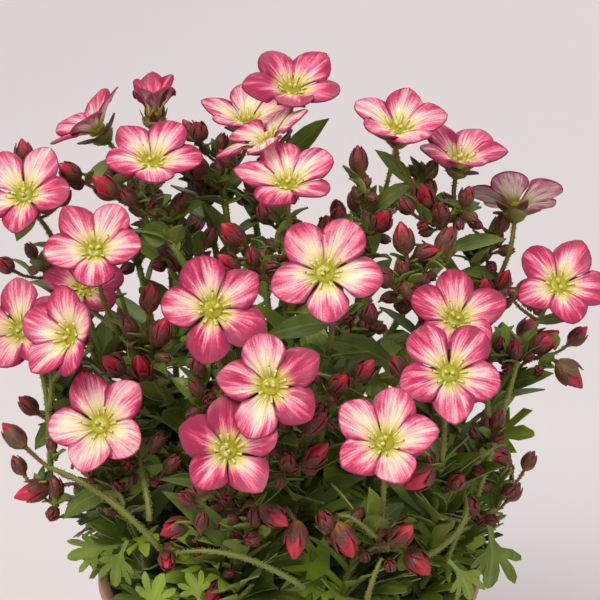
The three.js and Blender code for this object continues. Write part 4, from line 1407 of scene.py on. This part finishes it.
    def stem_leaf(self, stem, share, heading, size):
        """A lance-shaped leaf at a share of the way along a stem or stalk"""
        draws = self.draws
        return Leaf(
            root=point_along(stem, share),
            heading=heading,
            pitch=draws.between(30, 70),
            droop=draws.between(10, 50),
            roll=draws.between(-50, 50),
            length=STEM_LEAF_LENGTH * draws.between(0.75, 1.3) * size,
            width=STEM_LEAF_WIDTH * draws.between(1.0, 1.45) * size,
        )

    def make_leaves(self, clump):
        """The cushion's lobed leaves and the lance-shaped ones of the stems and stalks"""
        draws = self.draws
        growth = Growth()
        for leaf in clump.leaves + self.more_leaves(clump):
            growth.add(self.leaf, self.leaf_rule(leaf), tone=draws.between(0, 1) ** 1.3)
        for leaf, tone in clump.clear_leaves:
            if leaf.width:
                growth.add(self.lance, self.lance_rule(leaf), tone=tone)
            else:
                growth.add(self.clear_leaf, self.leaf_rule(leaf), tone=tone)
        lances = []
        for stem in clump.stems:
            start = draws.turn()
            for k in range(EXTRA_STEM_LEAVES):
                share = mix(0.2, 0.95, (k + draws.between(0, 1)) / EXTRA_STEM_LEAVES)
                size = draws.between(0.8, 1.15)
                lances.append(self.stem_leaf(stem.line, share, start + LEAF_TURN * k, size))
            for k in range(FORK_LEAVES):
                size = draws.between(0.5, 0.8)
                lances.append(self.stem_leaf(stem.line, 0.98, start + FORK_TURN * k, size))
            for bud in stem.all_buds:
                stalk = [bud.start, bud.base]
                for _ in range(STALK_LEAVES):
                    heading = draws.turn()
                    size = draws.between(0.25, 0.55)
                    lances.append(self.stem_leaf(stalk, draws.between(0.05, 0.7), heading, size))
        lances = clump.stem_leaves + [leaf for leaf in lances if self.fits(stem_leaf_spheres(leaf))]
        for leaf in lances:
            growth.add(self.lance, self.lance_rule(leaf), tone=draws.between(0.0, 0.7) ** 1.3)
        growth.finish(clump.name + "_leaves", self.leaf_finishes, clump.name, "foliage")

    def grow_calyx(self, bloom, growth):
        """The downy cup under an open bloom, on top of its pedicel"""
        top = bloom.centre - bloom.face * CALYX_DROP
        base = top - bloom.face * CALYX_DEPTH
        steps = len(CALYX_RADII) - 1
        points = [base.lerp(top, k / steps) for k in range(steps + 1)]
        self.grow_downy_line(growth, points, CALYX_RADII, 10, *CALYX_TONES)

    def sepal_rule(self, bloom, petal):
        """One of the five sepals behind an open bloom, between two petals"""
        draws = self.draws
        length = SEPAL_LENGTH * bloom.size * draws.between(0.9, 1.1)
        half = SEPAL_WIDTH * bloom.size / 2
        pitch = math.radians(petal.pitch - draws.between(6, 16))
        around = petal.angle + math.pi / PETALS
        ahead = bloom.top * math.cos(around) + bloom.right * math.sin(around)
        side = bloom.face.cross(ahead)

        def rule(u, v, w):
            wide = (1 - v ** 2.2) * (0.8 + 0.2 * math.sin(math.pi * v))
            out = 2.6 + v * length * math.cos(pitch)
            up = -CALYX_DROP - 0.5 + v * length * math.sin(pitch) + 0.25 * u * u * (1 - v)
            beside = bloom.centre + ahead * out + side * (u * half * wide)
            return beside + bloom.face * (up + w * SEPAL_THICK)

        return rule

    def gather_buds(self, stem):
        """A stem's buds, with small unripe ones beside them"""
        draws = self.draws
        gathered = list(stem.buds)
        for bud in gathered:
            tip_way = TURNED_BUDS.get(tuple(round(c) for c in bud.centre))
            if tip_way:
                bud.axis = Vector(tip_way).normalized()
                bud.base = bud.centre - bud.axis * (bud.length / 2)
                bud.is_ripe = True
        for bud in list(gathered):
            for _ in range(UNRIPE_BUDS):
                start = bud.start.lerp(bud.base, draws.between(0.15, 0.85))
                axis = draws.vector((-1, 1), (-1, 1), (-0.3, 1.1)).normalized()
                base = start + axis * draws.between(*UNRIPE_STALK)
                length = draws.between(*UNRIPE_LENGTH)
                centre = base + axis * (length / 2)
                is_clear = all(
                    (centre - other.centre).length > BUD_ROOM * (length + other.length)
                    for other in gathered
                )
                if is_clear and not meets_bloom(centre, length / 2):
                    gathered.append(SimpleNamespace(
                        centre=centre, axis=axis, base=base, length=length, start=start, is_ripe=False,
                    ))
        return gathered

    def add_spray(self, clump, stem):
        """A slender stem of small buds behind a high fork, as the photograph shows between the blooms"""
        draws = self.draws
        fork = stem.fork + draws.vector((-10, 10), (2, 11), (-12, 4))
        buds = []
        for _ in range(3):
            spot = fork + draws.vector((-7, 7), (-4, 5), (2, 12))
            length = draws.between(5, 6.8)
            if not meets_bloom(spot, length / 2):
                buds.append((*spot, length))
        if buds and not meets_bloom(fork, 1):
            clump.stems.append(clump.lay_stem(1, fork, [], [], buds))

    def make_stems(self, clump):
        """The shoot, its stems, pedicels, bud stalks and calyx cups, with their hairs"""
        growth = Growth()
        radii = [SHOOT_RADIUS, SHOOT_RADIUS, SHOOT_TIP_RADIUS]
        self.grow_line(growth, clump.shoot, radii, 10, tone=SHOOT_TONE)
        for way, radius in clump.clear_stems:
            radii = [radius * mix(0.6, 1, smooth(k / 5)) for k in range(11)]
            self.grow_downy_line(growth, way.spaced(10), radii, 8, *CLEAR_STEM_TONES)
        for index, stem in enumerate(clump.stems):
            foot = FIRST_STEM if index == 0 else FINE_STEM
            radii = [mix(foot, FINE_STEM * 0.9, smooth(k / 5)) for k in range(13)]
            self.grow_downy_line(growth, stem.curve.spaced(12), radii, 8, *STEM_TONES)
            for bloom, pedicel in zip(stem.blooms, stem.pedicels):
                radii = [mix(FINE_STEM * 0.85, FINE_PEDICEL, smooth(k / 4)) for k in range(9)]
                self.grow_downy_line(growth, pedicel.spaced(8), radii, 8, *PEDICEL_TONES)
                self.grow_calyx(bloom, growth)
            for bud in stem.all_buds:
                base = bud.base + bud.axis * (bud.length * 0.08)
                bend = base - bud.axis * ((base - bud.start).length * 0.5)
                stalk = Curve(bud.start, bend, base).spaced(4)
                thick = FINE_STALK * mix(0.8, 1.15, smooth((bud.length - 4) / 5))
                radii = [thick * 1.2, thick, thick, thick, thick * 1.3]
                self.grow_downy_line(growth, stalk, radii, 6, *STALK_TONES)
        growth.finish(clump.name + "_stems", [self.stem], clump.name, "foliage")

    def make_buds(self, clump):
        """Buds with their sepals, and the sepals behind the open blooms"""
        growth = Growth()
        for stem in clump.stems:
            for bloom in stem.blooms:
                for petal in bloom.petals:
                    growth.add(self.sepal, self.sepal_rule(bloom, petal), tone=self.draws.between(0, 1))
            for bud in stem.all_buds:
                self.grow_bud(bud, growth)
        finishes = [self.sepal_finish, self.sepal_finish, self.bud_petal]
        growth.finish(clump.name + "_buds", finishes, clump.name, "petal")

    def grow_bud(self, bud, growth):
        """A bud: folded petals shut by five pointed sepals, which part as it ripens"""
        draws = self.draws
        is_small = bud.length < SMALL_BUD
        length = bud.length * 0.97
        half = length * draws.between(0.28, 0.33)
        least_ripe = 0.7 if bud.is_ripe else 0.2
        ripe = smooth((bud.length - SMALL_BUD) / (FULL_BUD - SMALL_BUD)) * draws.between(least_ripe, 1)
        steps = len(BUD_PROFILE) - 1
        points = [bud.base + bud.axis * (length * k / steps) for k in range(steps + 1)]
        line = Line(points, [half * 0.93 * r for r in BUD_PROFILE])
        turn = draws.turn()
        twist = draws.between(-3, 3)
        fullness = draws.between(0.9, 1.08)

        def petals(x, along, z):
            crease = 0.5 + 0.5 * math.cos(PETALS * (math.atan2(z, x) - turn) + twist * along)
            sunk = fullness * (1 - 0.32 * crease ** 3 * smooth(along * 2))
            return line.skin(x * min(1, sunk), along, z * min(1, sunk))

        tone = mix(0.05, draws.between(0.5, 1), smooth(ripe * 3))
        growth.add(self.tube(10 if is_small else 15, steps), petals, 2, tone=tone)
        normal, across = line.frames[steps // 2]
        reach = mix(0.97, 0.66, ripe)

        def radius_at(t):
            place = min(0.999, t) * steps
            k = int(place)
            return half * mix(BUD_PROFILE[k], BUD_PROFILE[k + 1], place - k)

        age = draws.between(0, 1)
        template = self.small_sepal if is_small else self.sepal
        for k in range(PETALS):
            middle = turn + FULL_TURN * (k + 0.5) / PETALS + draws.between(-0.12, 0.12)
            own_reach = reach * draws.between(0.88, 1.05)
            spread = draws.between(0.62, 0.76)
            flare = draws.between(0, 0.5) + 0.2 * ripe

            def sepal(u, v, w):
                t = min(1, v * own_reach)
                angle = middle + u * spread * (1 - v ** 2.2) ** mix(0.42, 0.8, ripe)
                keel = 0.22 * (1 - abs(u)) * math.sin(math.pi * v)
                out = radius_at(t) + 0.06 + keel + w * BUD_SEPAL_THICK + flare * v ** 4
                radial = normal * math.cos(angle) + across * math.sin(angle)
                return bud.base + bud.axis * (length * t) + radial * out

            growth.add(template, sepal, tone=mix(age, draws.between(0, 1), 0.3))


def spin_section(section):
    """Turns a section of radius and height round the upright axis"""
    bm = bmesh.new()
    verts = [bm.verts.new((radius, 0, z)) for radius, z in section]
    edges = [bm.edges.new(pair) for pair in zip(verts, verts[1:])]
    bmesh.ops.spin(
        bm, geom=verts + edges, cent=(0, 0, 0), axis=(0, 0, 1), angle=FULL_TURN, steps=ROUND_STEPS,
        use_merge=True,
    )
    bmesh.ops.remove_doubles(bm, verts=bm.verts, dist=0.001)
    bmesh.ops.recalc_face_normals(bm, faces=bm.faces)
    for face in bm.faces:
        face.smooth = True
    return bm


def pot_radius(z):
    return POT_BASE_RADIUS + (POT_TOP_RADIUS - POT_BASE_RADIUS) * z / POT_HEIGHT


def make_pot():
    """The pot's wall, floor and lip, spun from their section, with the drain holes cut through its floor"""
    lip_foot = POT_HEIGHT - LIP_HEIGHT
    proud = POT_TOP_RADIUS + LIP_PROUD
    rim = POT_TOP_RADIUS - POT_WALL
    bm = spin_section([
        (0, 0), (POT_BASE_RADIUS - 1, 0), (POT_BASE_RADIUS - 0.2, 0.2), (pot_radius(1), 1),
        (pot_radius(lip_foot) - 0.1, lip_foot - 0.3), (pot_radius(lip_foot) + 0.2, lip_foot),
        (proud - 0.3, lip_foot + 0.3), (proud, lip_foot + 0.7), (proud, POT_HEIGHT - 0.7),
        (proud - 0.25, POT_HEIGHT - 0.2), (proud - 0.7, POT_HEIGHT), (rim + 0.4, POT_HEIGHT),
        (rim, POT_HEIGHT - 0.4), (pot_radius(POT_FLOOR) - POT_WALL, POT_FLOOR), (0, POT_FLOOR),
    ])
    cutters = bmesh.new()
    for k in range(DRAIN_HOLES):
        around = FULL_TURN * k / DRAIN_HOLES
        place = Matrix.Translation((DRAIN_RING * math.cos(around), DRAIN_RING * math.sin(around), 0))
        bmesh.ops.create_cone(
            cutters, cap_ends=True, segments=24, radius1=DRAIN_RADIUS, radius2=DRAIN_RADIUS, depth=12,
            matrix=place,
        )
    solid = bpy.data.objects.new("pot_blank", keep(bm, "pot_blank"))
    drill = bpy.data.objects.new("pot_drill", keep(cutters, "pot_drill"))
    for part in (solid, drill):
        bpy.context.scene.collection.objects.link(part)
    cut = solid.modifiers.new("drain_holes", "BOOLEAN")
    cut.object = drill
    cut.operation = "DIFFERENCE"
    mesh = bpy.data.meshes.new_from_object(solid.evaluated_get(bpy.context.evaluated_depsgraph_get()))
    for part in (solid, drill):
        bpy.data.objects.remove(part)
    mesh.transform(Matrix.Scale(MM, 4))
    place_piece("pot_wall", mesh, [pot_finish()], "pot")


def make_stage():
    """A plain pale floor that curves up into a backdrop all round, well outside every view's camera"""
    section = [(0, 0), (STAGE_FLAT, 0)]
    for k in range(1, STAGE_STEPS + 1):
        turn = math.pi / 2 * k / STAGE_STEPS
        out = STAGE_FLAT + STAGE_BEND * math.sin(turn)
        section.append((out, STAGE_BEND * (1 - math.cos(turn))))
    section.append((STAGE_FLAT + STAGE_BEND, STAGE_BEND + STAGE_WALL))
    bm = spin_section(section)
    bmesh.ops.transform(bm, matrix=Matrix.Scale(MM, 4), verts=bm.verts)
    bmesh.ops.reverse_faces(bm, faces=bm.faces)
    floor = bpy.data.objects.new("studio_floor", keep(bm, "studio_floor"))
    bpy.context.scene.collection.objects.link(floor)
    paper = Finish("studio_paper", {
        "Roughness": 0.9, "Base Color": linear("#d3cecd"), "Emission Color": linear("#ece6e5"),
    })
    # The far wall glows a little, as a lit backdrop does, so that it is as pale as the floor from every side
    away = paper.add("VectorMath", [paper.add("TexCoord", out="Object")], out="Value", operation="LENGTH")
    glow = paper.add("MapRange", [away, 1.5, 3.6, 0.0, 0.34], interpolation_type="SMOOTHSTEP")
    paper.tree.links.new(glow, paper.shader.inputs["Emission Strength"])
    floor.data.materials.append(paper.material)


def add_light(name, place, aim, size, power, colour):
    data = bpy.data.lights.new(name, "AREA")
    data.size = size
    data.energy = power
    data.color = linear(colour)[:3]
    light = bpy.data.objects.new(name, data)
    light.location = place
    light.rotation_euler = (Vector(aim) - Vector(place)).to_track_quat("-Z", "Y").to_euler()
    bpy.context.scene.collection.objects.link(light)


def add_lights():
    """Soft studio light: a large key above on the left, a fill from the right, and one on the backdrop.
    Places and sizes are in metres and powers in watts
    """
    world = bpy.data.worlds.new("studio")
    bpy.context.scene.world = world
    world.use_nodes = True
    sky = world.node_tree.nodes["Background"]
    sky.inputs["Color"].default_value = linear("#f4f0f2")
    sky.inputs["Strength"].default_value = 0.5
    add_light("key", (-0.5, -0.8, 1.4), (0, 0, 0.14), 0.7, 20, "#fffaf5")
    add_light("fill", (1.1, -0.9, 0.8), (0, 0, 0.12), 1.0, 5, "#f6f8ff")
    add_light("back", (0.5, 1.6, 1.6), (0.3, 1.4, 0), 1.4, 16, "#ffffff")


def add_camera():
    data = bpy.data.cameras.new("camera")
    data.sensor_width = SENSOR_WIDTH
    data.lens = SENSOR_WIDTH * FOCAL_PIXELS / PHOTO_WIDTH
    camera = bpy.data.objects.new("camera", data)
    back = Vector((0, -math.cos(CAMERA_RISE), math.sin(CAMERA_RISE)))
    camera.location = (CAMERA_AIM + back * CAMERA_DISTANCE) * MM
    camera.rotation_euler = (math.pi / 2 - CAMERA_RISE, 0, 0)
    bpy.context.scene.collection.objects.link(camera)
    bpy.context.scene.camera = camera


add_camera()
make_stage()
add_lights()
bpy.context.scene.view_settings.view_transform = "Standard"
blooms, clumps = lay_out()
garden = Garden()
make_pot()
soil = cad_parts["soil"]
soil.data.materials.clear()
soil.data.materials.append(soil_finish().material)
for bloom, rose in zip(blooms.values(), ROSE):
    garden.make_bloom(bloom, rose)
for clump in clumps:
    for stem in list(clump.stems):
        if stem.fork.z > SPRAY_HEIGHT and clump.name not in OPEN_CLUMPS:
            garden.add_spray(clump, stem)
garden.place_clear_parts(clumps)
for clump in clumps:
    for stem in clump.stems:
        stem.all_buds = garden.gather_buds(stem)
    garden.make_stems(clump)
    garden.make_leaves(clump)
    garden.make_buds(clump)
